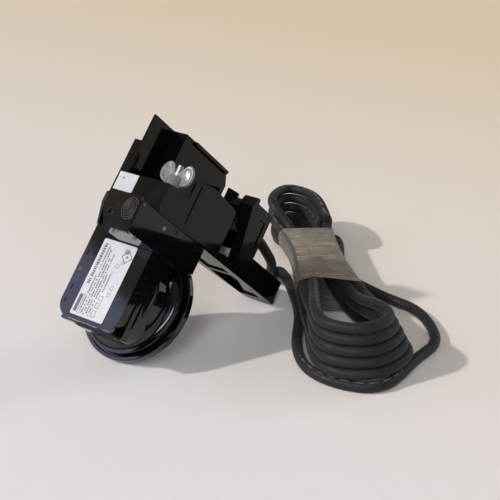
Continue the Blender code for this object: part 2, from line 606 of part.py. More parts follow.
# Step: (x, y, z) where the lead comes in and where the lowest turn strays from the rest.
LOOSE = {13: (2, 283, 6), 14: (46, 244, 6), 15: (90, 197, 6), 16: (128, 137, 6),
         17: (170, 100, 6), 19: (244, 125, 6), 20: (236, 189, 6), 21: (233, 236, 6),
         22: (182, 285, 6), 23: (136, 292, 6), 24: (57, 321, 5), 25: (1, 405, 6)}
LAP = len(LOW)                # steps in one lap
TURNS = 5                     # laps between the lowest and the highest turn
FIRST_STEP = min(LOOSE)
END_STEP = LAP * (TURNS + 1) + 7
WAIST = np.array([0.69, -0.72, 0.0])   # along the waist, towards the near lobe
WAIST_COLUMN = 5.8            # half the distance between the two columns
WAIST_ROW = 11.2
SAMPLES = 3                   # path points per step

# Relaxation that lays the turns side by side without touching.
PASSES = 160
CLEARANCE = 0.5               # free space between strands, mm
PUSH = 0.25                   # share of an overlap undone per pass
PULL = 0.22                   # share of a gap to the turn below closed per pass
PULL_LIMIT = 6                # largest gap acted on, mm
LOWER_SHARE = 0.35            # how much of that pull the lower turn takes
SMOOTHING = 0.03              # straightening per pass
RETURN = 0.03                 # drift back to the starting path per pass

# The film lifts the waist off the table: x, y of the middle, outer radius, fade width.
LIFT_X, LIFT_Y = 36, 300
LIFT_RADIUS = 150
LIFT_FADE = 55
LIFT_HEIGHT = 2.2
LIFT_START = 58               # path points before this are outside the film


def station(step):
    """Centre of the strand at a step; the turns rise lap by lap."""
    if step in LOOSE:
        return np.array(LOOSE[step], float)
    place = step % LAP
    low = np.array(LOW[place], float)
    top = TOP[place]
    level = step / LAP - 1
    if top is not None:
        return low + (np.array(top) - low) * level / TURNS
    outgoing = place < 9
    side = 1 if outgoing else -1
    turn_index = int(level) if outgoing else int(level) + 1
    across = np.array([-WAIST[1], WAIST[0], 0.0]) * side
    column = (1, -1)[turn_index % 2] * WAIST_COLUMN
    row = (turn_index + (place == 7)) // 2 - 1       # at station 7 odd turns go up a row
    return low + across * column + np.array([0, 0, row * WAIST_ROW])


def catmull(points, samples):
    """Catmull-Rom curve through the points."""
    out = []
    count = len(points)
    for i in range(count - 1):
        before, start = points[max(i - 1, 0)], points[i]
        end, after = points[i + 1], points[min(i + 2, count - 1)]
        for j in range(samples):
            f = j / samples
            out.append(0.5 * (2 * start + (end - before) * f
                              + (2 * before - 5 * start + 4 * end - after) * f * f
                              + (3 * start - before - 3 * end + after) * f ** 3))
    out.append(points[-1])
    return np.array(out)


def head_to_world(x, y, z):
    cos, sin = math.cos(TILT), math.sin(TILT)
    return np.array([x, cos * y - sin * z, sin * y + cos * z + REST_H])


def entry_run():
    """Control points from inside the tower, out of the gland and down to the table."""
    x, y = ENTRY
    outside = head_to_world(x, y - 2, tower_rear - 34.0)
    points = [head_to_world(x, y, -125.5), head_to_world(x, y, tower_rear - 16.0), outside,
              outside + np.array([-6, 26, -32]), outside + np.array([-22, 40, -70])]
    points[-1][2] = max(points[-1][2], 8)
    return points


def lead_path():
    run = entry_run()
    stations = [station(step) for step in range(FIRST_STEP, END_STEP)]
    path = catmull(np.array(run + stations), SAMPLES)
    start = path.copy()
    fixed = 3 * SAMPLES              # the first stretch is held by the gland
    index = np.arange(len(path))
    apart = np.abs(index[:, None] - index[None, :]) > 2 * SAMPLES
    turn = LAP * SAMPLES
    first = (max(LOOSE) + 1 - FIRST_STEP + len(run)) * SAMPLES
    # 1 where the turns stand in a wall, 0 at the waist
    settle = np.array([
        1.0 if TOP[round(FIRST_STEP + (i / SAMPLES - len(run))) % LAP] is not None else 0.0
        for i in range(first, len(path) - turn)])
    for _ in range(PASSES):
        offset = path[:, None, :] - path[None, :, :]
        distance = np.linalg.norm(offset, axis=2) + 1e-9
        near = apart & (distance < CABLE_D + CLEARANCE)
        overlap = (CABLE_D + CLEARANCE - distance)[:, :, None]
        push = np.where(near[:, :, None], offset / distance[:, :, None] * overlap * PUSH,
                        0.0).sum(1)
        bend = np.zeros_like(path)
        bend[1:-1] = 0.5 * (path[:-2] + path[2:]) - path[1:-1]
        # each turn settles on the one below it
        rise = path[first + turn:] - path[first:-turn]
        reach = np.linalg.norm(rise, axis=1)[:, None]
        excess = np.clip(reach - CABLE_D - CLEARANCE, 0, PULL_LIMIT)
        pull = rise / reach * excess * settle[:, None] * PULL
        draw = np.zeros_like(path)
        draw[first:-turn] += pull * LOWER_SHARE
        draw[first + turn:] -= pull
        move = push + draw + SMOOTHING * bend + RETURN * (start - path)
        move[:fixed] = 0
        move[-1] = push[-1]
        path = path + move
        path[fixed:, 2] = np.maximum(path[fixed:, 2], CABLE_D / 2 + 0.1)
    away = np.hypot(path[:, 0] - LIFT_X, path[:, 1] - LIFT_Y)
    fade = np.clip((LIFT_RADIUS - away) / LIFT_FADE, 0, 1)
    path[LIFT_START:, 2] += (LIFT_HEIGHT * fade * fade * (3 - 2 * fade))[LIFT_START:]
    return path


path = lead_path()
wire("mains_lead", path, CABLE_D / 2 - 0.2, RUBBER, PLACE)

# =========================================================================================
# Clear film round the waist of the hank: an open-ended sleeve, clear of the rubber
# =========================================================================================
FILM_START, FILM_END = (81, 252), (-10, 347)     # x, y of the sleeve's two ends
FILM_RINGS = 10
FILM_SEGMENTS = 24
FILM_REACH = 60               # strands further than this from the axis are left out
FILM_WALL = 0.55
FILM_FIRST = 60               # path points before this stay outside the film


def strands_crossing(centre, along, side):
    """(sideways, z) of each strand where it crosses the plane through centre."""
    depth = (path - centre) @ along
    found = []
    for j in range(FILM_FIRST, len(path) - 1):
        if depth[j] * depth[j + 1] <= 0 and abs(depth[j] - depth[j + 1]) > 1e-6:
            f = depth[j] / (depth[j] - depth[j + 1])
            point = path[j] * (1 - f) + path[j + 1] * f
            sideways = (point - centre) @ side
            if -FILM_REACH < sideways < FILM_REACH:
                found.append((sideways, point[2]))
    return np.array(found)


def outline_round(strands, margin):
    """Corners of the polygon whose sides stand the margin off the outermost strands."""
    corners = []
    for m in range(FILM_SEGMENTS):
        angles = [2 * math.pi * k / FILM_SEGMENTS for k in (m, m + 1)]
        normals = [np.array([math.cos(angle), math.sin(angle)]) for angle in angles]
        offsets = [(strands @ normal).max() + margin for normal in normals]
        corners.append(np.linalg.solve(np.array(normals), np.array(offsets)))
    return corners


def film_sleeve():
    start, end = np.array([*FILM_START, 0.0]), np.array([*FILM_END, 0.0])
    along = (end - start) / np.linalg.norm(end - start)
    side = np.array([-along[1], along[0], 0.0])
    up = np.array([0, 0, 1.0])
    inner_margin = CABLE_D / 2 + 0.9
    bm = bmesh.new()
    rings = []                       # (inner, outer) vertex loops
    for k in range(FILM_RINGS):
        centre = start + (end - start) * k / (FILM_RINGS - 1)
        strands = strands_crossing(centre, along, side)
        rings.append([[bm.verts.new(centre + side * corner[0] + up * corner[1])
                       for corner in outline_round(strands, margin)]
                      for margin in (inner_margin, inner_margin + FILM_WALL)])
    following = [(m, (m + 1) % FILM_SEGMENTS) for m in range(FILM_SEGMENTS)]
    for (inner, outer), (next_inner, next_outer) in zip(rings[:-1], rings[1:]):
        for m, n in following:
            bm.faces.new((outer[m], outer[n], next_outer[n], next_outer[m]))
            bm.faces.new((inner[m], next_inner[m], next_inner[n], inner[n]))
    for inner, outer in (rings[0], rings[-1]):
        for m, n in following:
            bm.faces.new((inner[m], inner[n], outer[n], outer[m]))
    return to_mesh(bm)


add_part("film_wrap", film_sleeve(), FILM, PLACE)

# Bring the middle of the whole bounding box over the origin, its lowest point to Z = 0.
depsgraph = bpy.context.evaluated_depsgraph_get()
low, high = np.full(3, np.inf), np.full(3, -np.inf)
for part in parts.objects:
    if part.type == 'EMPTY':
        continue
    evaluated = part.evaluated_get(depsgraph)
    mesh = evaluated.to_mesh()
    corners = np.array([evaluated.matrix_world @ vert.co for vert in mesh.vertices])
    low, high = np.minimum(low, corners.min(0)), np.maximum(high, corners.max(0))
    evaluated.to_mesh_clear()
PLACE.location = (-(low[0] + high[0]) / 2, -(low[1] + high[1]) / 2, -low[2])
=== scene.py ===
"""A control head with its clamp chassis and hanked rubber lead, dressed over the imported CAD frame.

The row frame is in metres, +Z up, with the product resting on the floor at z = 0. The head has its
own frame in mm: x right of the label, y up the label, z out of it, tilted back about X.
"""
import math
import random
from itertools import groupby

import bmesh
import bpy
import numpy as np
from mathutils import Matrix, Vector
from mathutils import noise as mnoise


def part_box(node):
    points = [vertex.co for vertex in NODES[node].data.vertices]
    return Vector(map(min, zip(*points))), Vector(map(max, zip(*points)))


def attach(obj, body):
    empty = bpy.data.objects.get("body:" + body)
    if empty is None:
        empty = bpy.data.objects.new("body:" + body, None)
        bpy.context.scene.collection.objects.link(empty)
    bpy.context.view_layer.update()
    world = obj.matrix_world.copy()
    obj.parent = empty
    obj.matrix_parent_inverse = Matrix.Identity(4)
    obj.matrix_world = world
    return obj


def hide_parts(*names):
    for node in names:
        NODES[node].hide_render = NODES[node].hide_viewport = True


bpy.ops.wm.read_factory_settings(use_empty=True)
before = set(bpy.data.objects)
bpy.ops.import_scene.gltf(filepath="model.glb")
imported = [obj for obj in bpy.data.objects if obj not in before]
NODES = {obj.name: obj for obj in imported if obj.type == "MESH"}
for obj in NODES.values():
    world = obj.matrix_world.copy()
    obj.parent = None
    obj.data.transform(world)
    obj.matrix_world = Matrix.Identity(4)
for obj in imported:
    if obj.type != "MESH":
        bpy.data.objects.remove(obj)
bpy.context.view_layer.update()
scene = bpy.context.scene
MM = 0.001

# The two places the product rests on, as y, z in the head's frame (mm); they give its tilt
FOOT_Y, FOOT_Z = -61.5, -65.2
TAIL_Y, TAIL_Z = 72.3, -217.0
TILT = math.atan2(FOOT_Z - TAIL_Z, TAIL_Y - FOOT_Y)
COS_TILT, SIN_TILT = math.cos(TILT), math.sin(TILT)
REST_HEIGHT = -FOOT_Y * SIN_TILT - FOOT_Z * COS_TILT

# The type label, in the head's frame (mm); its lowest corner in the row frame places the head
LABEL_HALF_X, LABEL_HALF_Y = 20.4, 40.7
LABEL_FOOT, LABEL_TOP = 0.3, 0.6
label_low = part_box("type_label")[0]
PLACE = Vector((
    label_low.x + LABEL_HALF_X * MM,
    label_low.y + (LABEL_HALF_Y * COS_TILT + LABEL_TOP * SIN_TILT) * MM,
    label_low.z - (-LABEL_HALF_Y * SIN_TILT + LABEL_FOOT * COS_TILT + REST_HEIGHT) * MM))
HEAD = Matrix.Translation(PLACE + Vector((0, 0, REST_HEIGHT * MM))) @ Matrix.Rotation(TILT, 4, 'X')
SHIFT = np.array(PLACE)


# ==== Node helpers ========================================================================
class Nodes:
    """Short ways to add and link nodes in one tree."""

    def __init__(self, tree):
        self.tree = tree

    def new(self, kind, **settings):
        node = self.tree.nodes.new(kind)
        for key, value in settings.items():
            setattr(node, key, value)
        return node

    def link(self, source, target):
        self.tree.links.new(source, target)

    def feed(self, socket, value):
        """Link an output to socket, or set a constant there; a tuple is an opaque colour."""
        if isinstance(value, bpy.types.NodeSocket):
            self.link(value, socket)
        else:
            socket.default_value = (*value, 1.0) if isinstance(value, tuple) else value

    def math(self, operation, first, second=0.0):
        node = self.new("ShaderNodeMath", operation=operation)
        self.feed(node.inputs[0], first)
        self.feed(node.inputs[1], second)
        return node.outputs[0]

    def add(self, first, second):
        return self.math('ADD', first, second)

    def mul(self, value, by):
        return self.math('MULTIPLY', value, by)

    def ramp(self, value, span, out=(0.0, 1.0)):
        """Map value from span to out, clamped and eased."""
        node = self.new("ShaderNodeMapRange", interpolation_type='SMOOTHSTEP')
        self.link(value, node.inputs["Value"])
        for end, from_value, to_value in zip(("Min", "Max"), span, out):
            node.inputs["From " + end].default_value = from_value
            node.inputs["To " + end].default_value = to_value
        return node.outputs["Result"]

    def mix(self, share, first, second):
        """Blend two colours; share is the part of the second."""
        node = self.new("ShaderNodeMix", data_type='RGBA')
        self.feed(node.inputs[0], share)
        self.feed(node.inputs[6], first)
        self.feed(node.inputs[7], second)
        return node.outputs[2]

    def noise(self, vec, scale, detail=3.0, rough=0.5, warp=0.0):
        node = self.new("ShaderNodeTexNoise")
        node.inputs["Scale"].default_value = scale
        node.inputs["Detail"].default_value = detail
        node.inputs["Roughness"].default_value = rough
        node.inputs["Distortion"].default_value = warp
        self.link(vec, node.inputs["Vector"])
        return node.outputs["Fac"]


class Material(Nodes):
    """A Principled material and the texture nodes it is built from."""

    def __init__(self, name):
        self.material = bpy.data.materials.new(name)
        self.material.use_nodes = True
        super().__init__(self.material.node_tree)
        self.bsdf = self.tree.nodes["Principled BSDF"]
        self.place = self.new("ShaderNodeTexCoord").outputs["Object"]

    def mapped(self, vec, scale=(1, 1, 1), origin=(0, 0, 0), turn=(0, 0, 0), kind='POINT'):
        node = self.new("ShaderNodeMapping", vector_type=kind)
        node.inputs["Location"].default_value = origin
        node.inputs["Rotation"].default_value = turn
        node.inputs["Scale"].default_value = scale
        self.link(vec, node.inputs["Vector"])
        return node.outputs[0]

    def row_coords(self):
        return self.mapped(self.place)

    def head_coords(self, scale=None):
        """Metres in the head's own frame, stretched by scale if given."""
        vec = self.mapped(self.place, origin=HEAD.translation, turn=(TILT, 0, 0), kind='TEXTURE')
        return self.mapped(vec, scale) if scale else vec

    def voronoi(self, vec, scale):
        node = self.new("ShaderNodeTexVoronoi")
        node.inputs["Scale"].default_value = scale
        self.link(vec, node.inputs["Vector"])
        return node.outputs["Distance"]

    def bands(self, vec, scale, warp):
        """Stripes stacked along z."""
        node = self.new("ShaderNodeTexWave", wave_type='BANDS', bands_direction='Z')
        self.link(vec, node.inputs["Vector"])
        node.inputs["Scale"].default_value = scale
        node.inputs["Distortion"].default_value = warp
        return node.outputs["Fac"]

    def bump(self, height, depth, strength, over=None):
        """A bump of depth metres, laid over an earlier one if given."""
        node = self.new("ShaderNodeBump")
        node.inputs["Strength"].default_value = strength
        node.inputs["Distance"].default_value = depth
        self.link(height, node.inputs["Height"])
        if over is not None:
            self.link(over, node.inputs["Normal"])
        return node.outputs["Normal"]

    def split(self, vec):
        node = self.new("ShaderNodeSeparateXYZ")
        self.link(vec, node.inputs[0])
        return node.outputs

    def facing_up(self):
        geometry = self.new("ShaderNodeNewGeometry")
        return self.ramp(self.split(geometry.outputs["Normal"])["Z"], span=(0.2, 0.95))

    def finish(self, **inputs):
        """Set the Principled inputs, named with _ for a space, and give the material."""
        for key, value in inputs.items():
            self.feed(self.bsdf.inputs[key.replace("_", " ")], value)
        return self.material


# ==== Materials ===========================================================================
def dusty(mat, vec, base, dust, amount):
    """base with fine settled dust, heavier on faces that look up; also gives the dust cover."""
    specks = mat.ramp(mat.voronoi(vec, scale=900), span=(0.16, 0.03))
    cloud = mat.ramp(mat.noise(vec, scale=34, detail=5, rough=0.6), span=(0.38, 0.72))
    grain = mat.ramp(mat.noise(vec, scale=1500, detail=2, rough=0.6), span=(0.45, 0.7))
    settled = mat.add(mat.mul(cloud, by=0.5), mat.mul(grain, by=cloud))
    settled = mat.mul(settled, by=mat.facing_up())
    cover = mat.mul(mat.add(settled, mat.mul(specks, by=0.7)), by=amount)
    return mat.mix(cover, base, dust), cover


def gloss_abs(name, base, rough, wave, dust, spec):
    """Polished black plastic; rough is its range where smeared, wave the depth of its ripple."""
    mat = Material(name)
    vec = mat.head_coords()
    colour, cover = dusty(mat, vec, base, dust=(0.22, 0.21, 0.19), amount=dust)
    smear = mat.noise(vec, scale=24, detail=4, rough=0.6, warp=0.6)
    scratch = mat.noise(mat.head_coords(scale=(22, 420, 60)), scale=5, detail=2, rough=0.6)
    roughness = mat.add(mat.ramp(smear, span=(0.35, 0.75), out=rough),
                        mat.mul(mat.ramp(scratch, span=(0.62, 0.74)), by=0.05))
    roughness = mat.add(roughness, mat.mul(cover, by=0.9))
    bump = mat.bump(mat.noise(vec, scale=16, detail=1, rough=0.4), depth=wave, strength=0.55)
    bump = mat.bump(mat.noise(vec, scale=950, detail=2), depth=0.000004, strength=0.6, over=bump)
    bump = mat.bump(mat.ramp(scratch, span=(0.6, 0.75)), depth=0.000006, strength=0.5, over=bump)
    return mat.finish(Base_Color=colour, Roughness=roughness, Normal=bump, IOR=1.53,
                      Specular_IOR_Level=spec)


def satin_abs(name, base):
    mat = Material(name)
    vec = mat.head_coords()
    colour, _ = dusty(mat, vec, base, dust=(0.2, 0.19, 0.17), amount=0.09)
    bump = mat.bump(mat.noise(vec, scale=1300, rough=0.6), depth=0.00002, strength=0.8)
    bump = mat.bump(mat.noise(vec, scale=30, detail=2), depth=0.00015, strength=0.4, over=bump)
    roughness = mat.ramp(mat.noise(vec, scale=60, detail=4), span=(0.3, 0.7), out=(0.3, 0.46))
    return mat.finish(Base_Color=colour, Roughness=roughness, Normal=bump, IOR=1.5)


def lead_print(mat, vec, colour, bump):
    """Drawn lines along the lead, and a worn printed row of dashes; gives colour and bump."""
    line_scale_along, line_scale_round = 9.0, 90.0
    band_centre, band_half = 0.5, 0.022         # in turns round the lead
    dash_pitch, dash_share = 0.0135, 0.62       # metres, and the inked part of each
    group_pitch, group_share = 0.37, 0.36       # metres, and the dashed part of each
    uvs = mat.split(mat.new("ShaderNodeUVMap", uv_map="lead").outputs[0])
    along, turn = uvs[0], uvs[1]
    lines = mat.new("ShaderNodeCombineXYZ")
    mat.link(mat.mul(along, by=line_scale_along), lines.inputs[0])
    mat.link(mat.mul(turn, by=line_scale_round), lines.inputs[1])
    drawn = mat.noise(lines.outputs[0], scale=1, detail=2)
    bump = mat.bump(drawn, depth=0.00006, strength=0.55, over=bump)

    def dashed(pitch, share):
        return mat.math('LESS_THAN', mat.math('FRACT', mat.math('DIVIDE', along, pitch)), share)

    off_centre = mat.math('ABSOLUTE', mat.math('SUBTRACT', turn, band_centre))
    band = mat.math('LESS_THAN', off_centre, band_half)
    dash = dashed(dash_pitch, dash_share)
    group = dashed(group_pitch, group_share)
    worn = mat.ramp(mat.noise(vec, scale=260, detail=4, rough=0.7), span=(0.36, 0.56),
                    out=(0.15, 1.0))
    ink = mat.mul(mat.mul(mat.mul(band, by=dash), by=group), by=worn)
    return mat.mix(mat.mul(ink, by=0.36), colour, (0.36, 0.37, 0.36)), bump


def rubber(name, printed=False):
    mat = Material(name)
    vec = mat.row_coords()
    colour, _ = dusty(mat, vec, (0.0135, 0.0145, 0.0148), dust=(0.10, 0.10, 0.09), amount=0.10)
    scuff = mat.ramp(mat.noise(vec, scale=55, detail=6, rough=0.65, warp=0.8), span=(0.50, 0.78))
    colour = mat.mix(mat.mul(scuff, by=0.45), colour, (0.026, 0.028, 0.026))
    roughness = mat.ramp(mat.noise(vec, scale=110, detail=4, rough=0.6), span=(0.3, 0.7),
                         out=(0.50, 0.66))
    bump = mat.bump(mat.noise(vec, scale=1700, detail=2, rough=0.6), depth=0.000035, strength=0.7)
    bump = mat.bump(mat.noise(vec, scale=70, detail=2), depth=0.00035, strength=0.3, over=bump)
    if printed:
        colour, bump = lead_print(mat, vec, colour, bump)
    return mat.finish(Base_Color=colour, Roughness=roughness, Normal=bump, IOR=1.48,
                      Sheen_Weight=0.05, Sheen_Roughness=0.45, Specular_IOR_Level=0.30)


def nylon():
    """Milky natural nylon, greyer at the wing nut's hub end."""
    mat = Material("nylon")
    vec = mat.head_coords()
    tint = mat.ramp(mat.noise(vec, scale=70, rough=0.6, warp=0.4), span=(0.32, 0.72))
    colour = mat.mix(tint, (0.20, 0.21, 0.19), (0.34, 0.33, 0.29))
    beyond_hub = mat.ramp(mat.split(vec)["Y"], span=(0.108, 0.128))
    colour = mat.mix(beyond_hub, mat.mix(0.45, colour, (0.24, 0.26, 0.25)), colour)
    bump = mat.bump(mat.noise(vec, scale=420, rough=0.6), depth=0.00004, strength=0.6)
    bump = mat.bump(mat.noise(vec, scale=95, detail=2), depth=0.0004, strength=0.35, over=bump)
    roughness = mat.ramp(mat.noise(vec, scale=160), span=(0.3, 0.7), out=(0.22, 0.38))
    mat.bsdf.inputs["Subsurface Radius"].default_value = (1.0, 0.95, 0.75)
    return mat.finish(Base_Color=colour, Roughness=roughness, Normal=bump, IOR=1.53,
                      Subsurface_Weight=0.5, Subsurface_Scale=0.006, Transmission_Weight=0.10)


def label_film():
    mat = Material("label_film")
    vec = mat.head_coords()
    grain = mat.noise(vec, scale=900, rough=0.6)
    stain = mat.ramp(mat.noise(vec, scale=38, detail=5, rough=0.65, warp=0.5), span=(0.45, 0.8))
    colour = mat.mix(mat.mul(stain, by=0.35), (0.56, 0.55, 0.545), (0.66, 0.64, 0.58))
    colour = mat.mix(mat.mul(grain, by=0.10), colour, (0.9, 0.9, 0.9))
    bump = mat.bump(grain, depth=0.00001, strength=0.6)
    bump = mat.bump(mat.noise(vec, scale=40, detail=2), depth=0.0001, strength=0.4, over=bump)
    roughness = mat.ramp(stain, span=(0, 1), out=(0.24, 0.36))
    return mat.finish(Base_Color=colour, Roughness=roughness, Normal=bump, IOR=1.49)


def print_ink():
    mat = Material("print_ink")
    vec = mat.head_coords()
    worn = mat.ramp(mat.noise(vec, scale=700, detail=4, rough=0.7), span=(0.35, 0.6))
    return mat.finish(Base_Color=mat.mix(worn, (0.10, 0.10, 0.11), (0.022, 0.022, 0.028)),
                      Roughness=mat.ramp(worn, span=(0, 1), out=(0.5, 0.3)))


def zinc_plate():
    mat = Material("zinc_plate")
    brushed = mat.head_coords(scale=(1, 60, 1))
    vec = mat.head_coords()
    grain = mat.noise(brushed, scale=60, detail=4, rough=0.6)
    tarnish = mat.ramp(mat.noise(vec, scale=120, detail=4, rough=0.6), span=(0.4, 0.75))
    colour = mat.mix(tarnish, (0.52, 0.52, 0.50), (0.30, 0.29, 0.27))
    return mat.finish(Base_Color=colour, Metallic=1.0,
                      Roughness=mat.ramp(grain, span=(0.3, 0.7), out=(0.22, 0.44)),
                      Normal=mat.bump(grain, depth=0.00003, strength=0.5))


def enamelled_wire():
    mat = Material("enamelled_wire")
    strands = mat.bands(mat.head_coords(), scale=260, warp=0.7)
    colour = mat.mix(strands, (0.30, 0.09, 0.03), (0.62, 0.25, 0.10))
    return mat.finish(Base_Color=colour, Metallic=0.85, Roughness=0.3,
                      Normal=mat.bump(strands, depth=0.0003, strength=0.8))


def core_laminations():
    mat = Material("core_laminations")
    vec = mat.head_coords()
    sheets = mat.bands(vec, scale=300, warp=0.2)
    rust = mat.ramp(mat.noise(vec, scale=80, detail=5, rough=0.65), span=(0.5, 0.75))
    steel = mat.mix(sheets, (0.10, 0.10, 0.105), (0.26, 0.26, 0.27))
    return mat.finish(Base_Color=mat.mix(rust, steel, (0.20, 0.10, 0.05)), Metallic=0.8,
                      Roughness=mat.ramp(rust, span=(0, 1), out=(0.42, 0.75)),
                      Normal=mat.bump(sheets, depth=0.0002, strength=0.7))


def circuit_board():
    mat = Material("circuit_board")
    bricks = mat.new("ShaderNodeTexBrick")
    mat.link(mat.head_coords(), bricks.inputs["Vector"])
    for key, value in (("Scale", 130.0), ("Mortar Size", 0.06), ("Color1", (0.018, 0.11, 0.045)),
                       ("Color2", (0.022, 0.15, 0.06)), ("Mortar", (0.06, 0.24, 0.09))):
        mat.feed(bricks.inputs[key], value)
    return mat.finish(Base_Color=bricks.outputs["Color"], Roughness=0.38,
                      Normal=mat.bump(bricks.outputs["Fac"], depth=0.0001, strength=0.5))


def moulded(name, dark, light, rough):
    mat = Material(name)
    vec = mat.head_coords()
    cloud = mat.ramp(mat.noise(vec, scale=60, detail=4, rough=0.6), span=(0.3, 0.7))
    grain = mat.noise(vec, scale=1400, rough=0.6)
    return mat.finish(Base_Color=mat.mix(cloud, dark, light),
                      Roughness=mat.ramp(grain, span=(0.3, 0.7), out=(rough - 0.08, rough + 0.1)),
                      Normal=mat.bump(grain, depth=0.00002, strength=0.7))


GLOSS = gloss_abs("gloss_abs", base=(0.0030, 0.0030, 0.0034), rough=(0.025, 0.085),
                  wave=0.000084, dust=0.02, spec=0.5)
GLOSS_CHASSIS = gloss_abs("gloss_abs_chassis", base=(0.0040, 0.0038, 0.0036), rough=(0.07, 0.15),
                          wave=0.00018, dust=0.03, spec=0.17)
GLOSS_NECK = gloss_abs("gloss_abs_neck", base=(0.0028, 0.0028, 0.0030), rough=(0.04, 0.10),
                       wave=0.00012, dust=0.02, spec=0.30)
SATIN = satin_abs("satin_abs", base=(0.011, 0.011, 0.012))
RUBBER = rubber("rubber")
LEAD = rubber("rubber_lead", printed=True)
NYLON = nylon()
PAPER = label_film()
INK = print_ink()
STEEL = zinc_plate()
COPPER = enamelled_wire()
IRON = core_laminations()
BOARD = circuit_board()
GREY = moulded("grey_moulding_fine", dark=(0.26, 0.27, 0.28), light=(0.34, 0.35, 0.36), rough=0.45)
CREAM = moulded("white_moulding", dark=(0.66, 0.65, 0.60), light=(0.76, 0.75, 0.70), rough=0.4)
# Painted reflection: the thumb ridges' brownish base colour stands in for the warm room mirrored in
# the latch.
RIDGE = satin_abs("ridges_painted_reflection", base=(0.050, 0.041, 0.032))

# The look of each CAD slot, and of the pieces that differ from their slot
SLOT_LOOK = {"black_gloss_abs": GLOSS, "black_satin_abs": SATIN, "black_rubber": RUBBER,
             "white_film": PAPER, "natural_nylon": NYLON, "zinc_steel": STEEL,
             "enamelled_copper": COPPER, "core_iron": IRON, "board_green": BOARD,
             "grey_moulding": GREY, "clear_film": PAPER}
PIECE_LOOK = {"neck_housing": GLOSS_NECK, "face_screw": SATIN, "chassis_frame": GLOSS_CHASSIS,
              "base_plate": GLOSS_CHASSIS, "rear_tower": GLOSS_CHASSIS,
              "tower_cover": GLOSS_CHASSIS, "tail_trough": GLOSS_CHASSIS, "relay": CREAM,
              "starter": CREAM, "terminal_block": CREAM, "dome_gasket": RUBBER}


# ==== CAD pieces: cleaned, finely bevelled and shaded by modifiers only ===================
SHADE_ANGLE = 32                # degrees; sharper edges stay hard
NO_BEVEL = (0.0, 0)
PLAIN_BEVEL = (0.2, 2)
# piece: bevel width (mm), segments
BEVELS = {"head_housing": (1.5, 4), "neck_housing": (0.7, 3), "release_latch": (0.5, 3),
          "chassis_frame": (0.4, 2), "base_plate": (0.6, 2), "rear_tower": (0.4, 2),
          "tower_cover": (0.4, 2), "tail_trough": (0.4, 2), "bayonet_ring": (0.5, 2),
          "tray_cover": (0.35, 2), "type_label": NO_BEVEL, "arrow_sticker": NO_BEVEL,
          "latch_spring": NO_BEVEL, "clamp_washer": (0.3, 2)}


def shade_group():
    """Geometry nodes that smooth every face and keep edges over SHADE_ANGLE sharp."""
    group = bpy.data.node_groups.new("shade_by_angle_%d" % SHADE_ANGLE, 'GeometryNodeTree')
    for in_out in ('INPUT', 'OUTPUT'):
        group.interface.new_socket("Geometry", in_out=in_out, socket_type='NodeSocketGeometry')
    source, result = group.nodes.new("NodeGroupInput"), group.nodes.new("NodeGroupOutput")
    smooth = group.nodes.new("GeometryNodeSetShadeSmooth")
    sharpen = group.nodes.new("GeometryNodeSetShadeSmooth")
    smooth.domain, sharpen.domain = 'FACE', 'EDGE'
    smooth.inputs["Shade Smooth"].default_value = True
    sharpen.inputs["Shade Smooth"].default_value = False
    edge_angle = group.nodes.new("GeometryNodeInputMeshEdgeAngle")
    compare = group.nodes.new("FunctionNodeCompare")
    compare.data_type, compare.operation = 'FLOAT', 'GREATER_THAN'
    compare.inputs[1].default_value = math.radians(SHADE_ANGLE)
    group.links.new(edge_angle.outputs["Unsigned Angle"], compare.inputs[0])
    group.links.new(compare.outputs[0], sharpen.inputs["Selection"])
    group.links.new(source.outputs[0], smooth.inputs["Geometry"])
    group.links.new(smooth.outputs[0], sharpen.inputs["Geometry"])
    group.links.new(sharpen.outputs[0], result.inputs[0])
    return group


def modify(ob, name, kind, **settings):
    modifier = ob.modifiers.new(name, kind)
    for key, value in settings.items():
        setattr(modifier, key, value)


def paint_cad(name, data):
    """Put the piece's look in every slot of its mesh."""
    slot = data.materials[0].name.split(".")[0] if data.materials else ""
    look = PIECE_LOOK.get(name) or SLOT_LOOK.get(slot) or GLOSS
    if not data.materials:
        data.materials.append(look)
    for i in range(len(data.materials)):
        data.materials[i] = look


def dress_cad(name, ob, shading):
    paint_cad(name, ob.data)
    if ob.data.has_custom_normals:
        normals = ob.data.attributes.get("custom_normal")
        if normals:
            ob.data.attributes.remove(normals)
    modify(ob, "weld", 'WELD', merge_threshold=0.00001)
    if name != "latch_spring":
        modify(ob, "flat", 'DECIMATE', decimate_type='DISSOLVE', angle_limit=math.radians(1.2))
    width, segments = BEVELS.get(name, PLAIN_BEVEL)
    if width > 0:
        modify(ob, "edges", 'BEVEL', width=width * MM, segments=segments, limit_method='ANGLE',
               angle_limit=math.radians(40), use_clamp_overlap=True, harden_normals=False,
               miter_outer='MITER_ARC')
    modify(ob, "shade", 'NODES', node_group=shading)
    if width > 0:
        modify(ob, "flat_faces", 'WEIGHTED_NORMAL', keep_sharp=True, weight=80)


# ==== Mesh helpers ========================================================================
def piece(name, mesh, material, body, smooth=True, in_row=False):
    """An object from a bmesh in the head's frame in mm, or in the row frame in m if in_row."""
    data = bpy.data.meshes.new(name)
    bmesh.ops.recalc_face_normals(mesh, faces=mesh.faces)
    mesh.to_mesh(data)
    mesh.free()
    if not in_row:
        data.transform(HEAD @ Matrix.Scale(MM, 4))
    ob = bpy.data.objects.new(name, data)
    scene.collection.objects.link(ob)
    data.materials.append(material)
    if smooth:
        data.shade_smooth()
    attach(ob, body)
    return ob


def spline_point(before, start, end, after, f):
    """Catmull-Rom point a fraction f of the way from start to end."""
    return 0.5 * (2 * start + (end - before) * f
                  + (2 * before - 5 * start + 4 * end - after) * f * f
                  + (3 * start - before - 3 * end + after) * f ** 3)


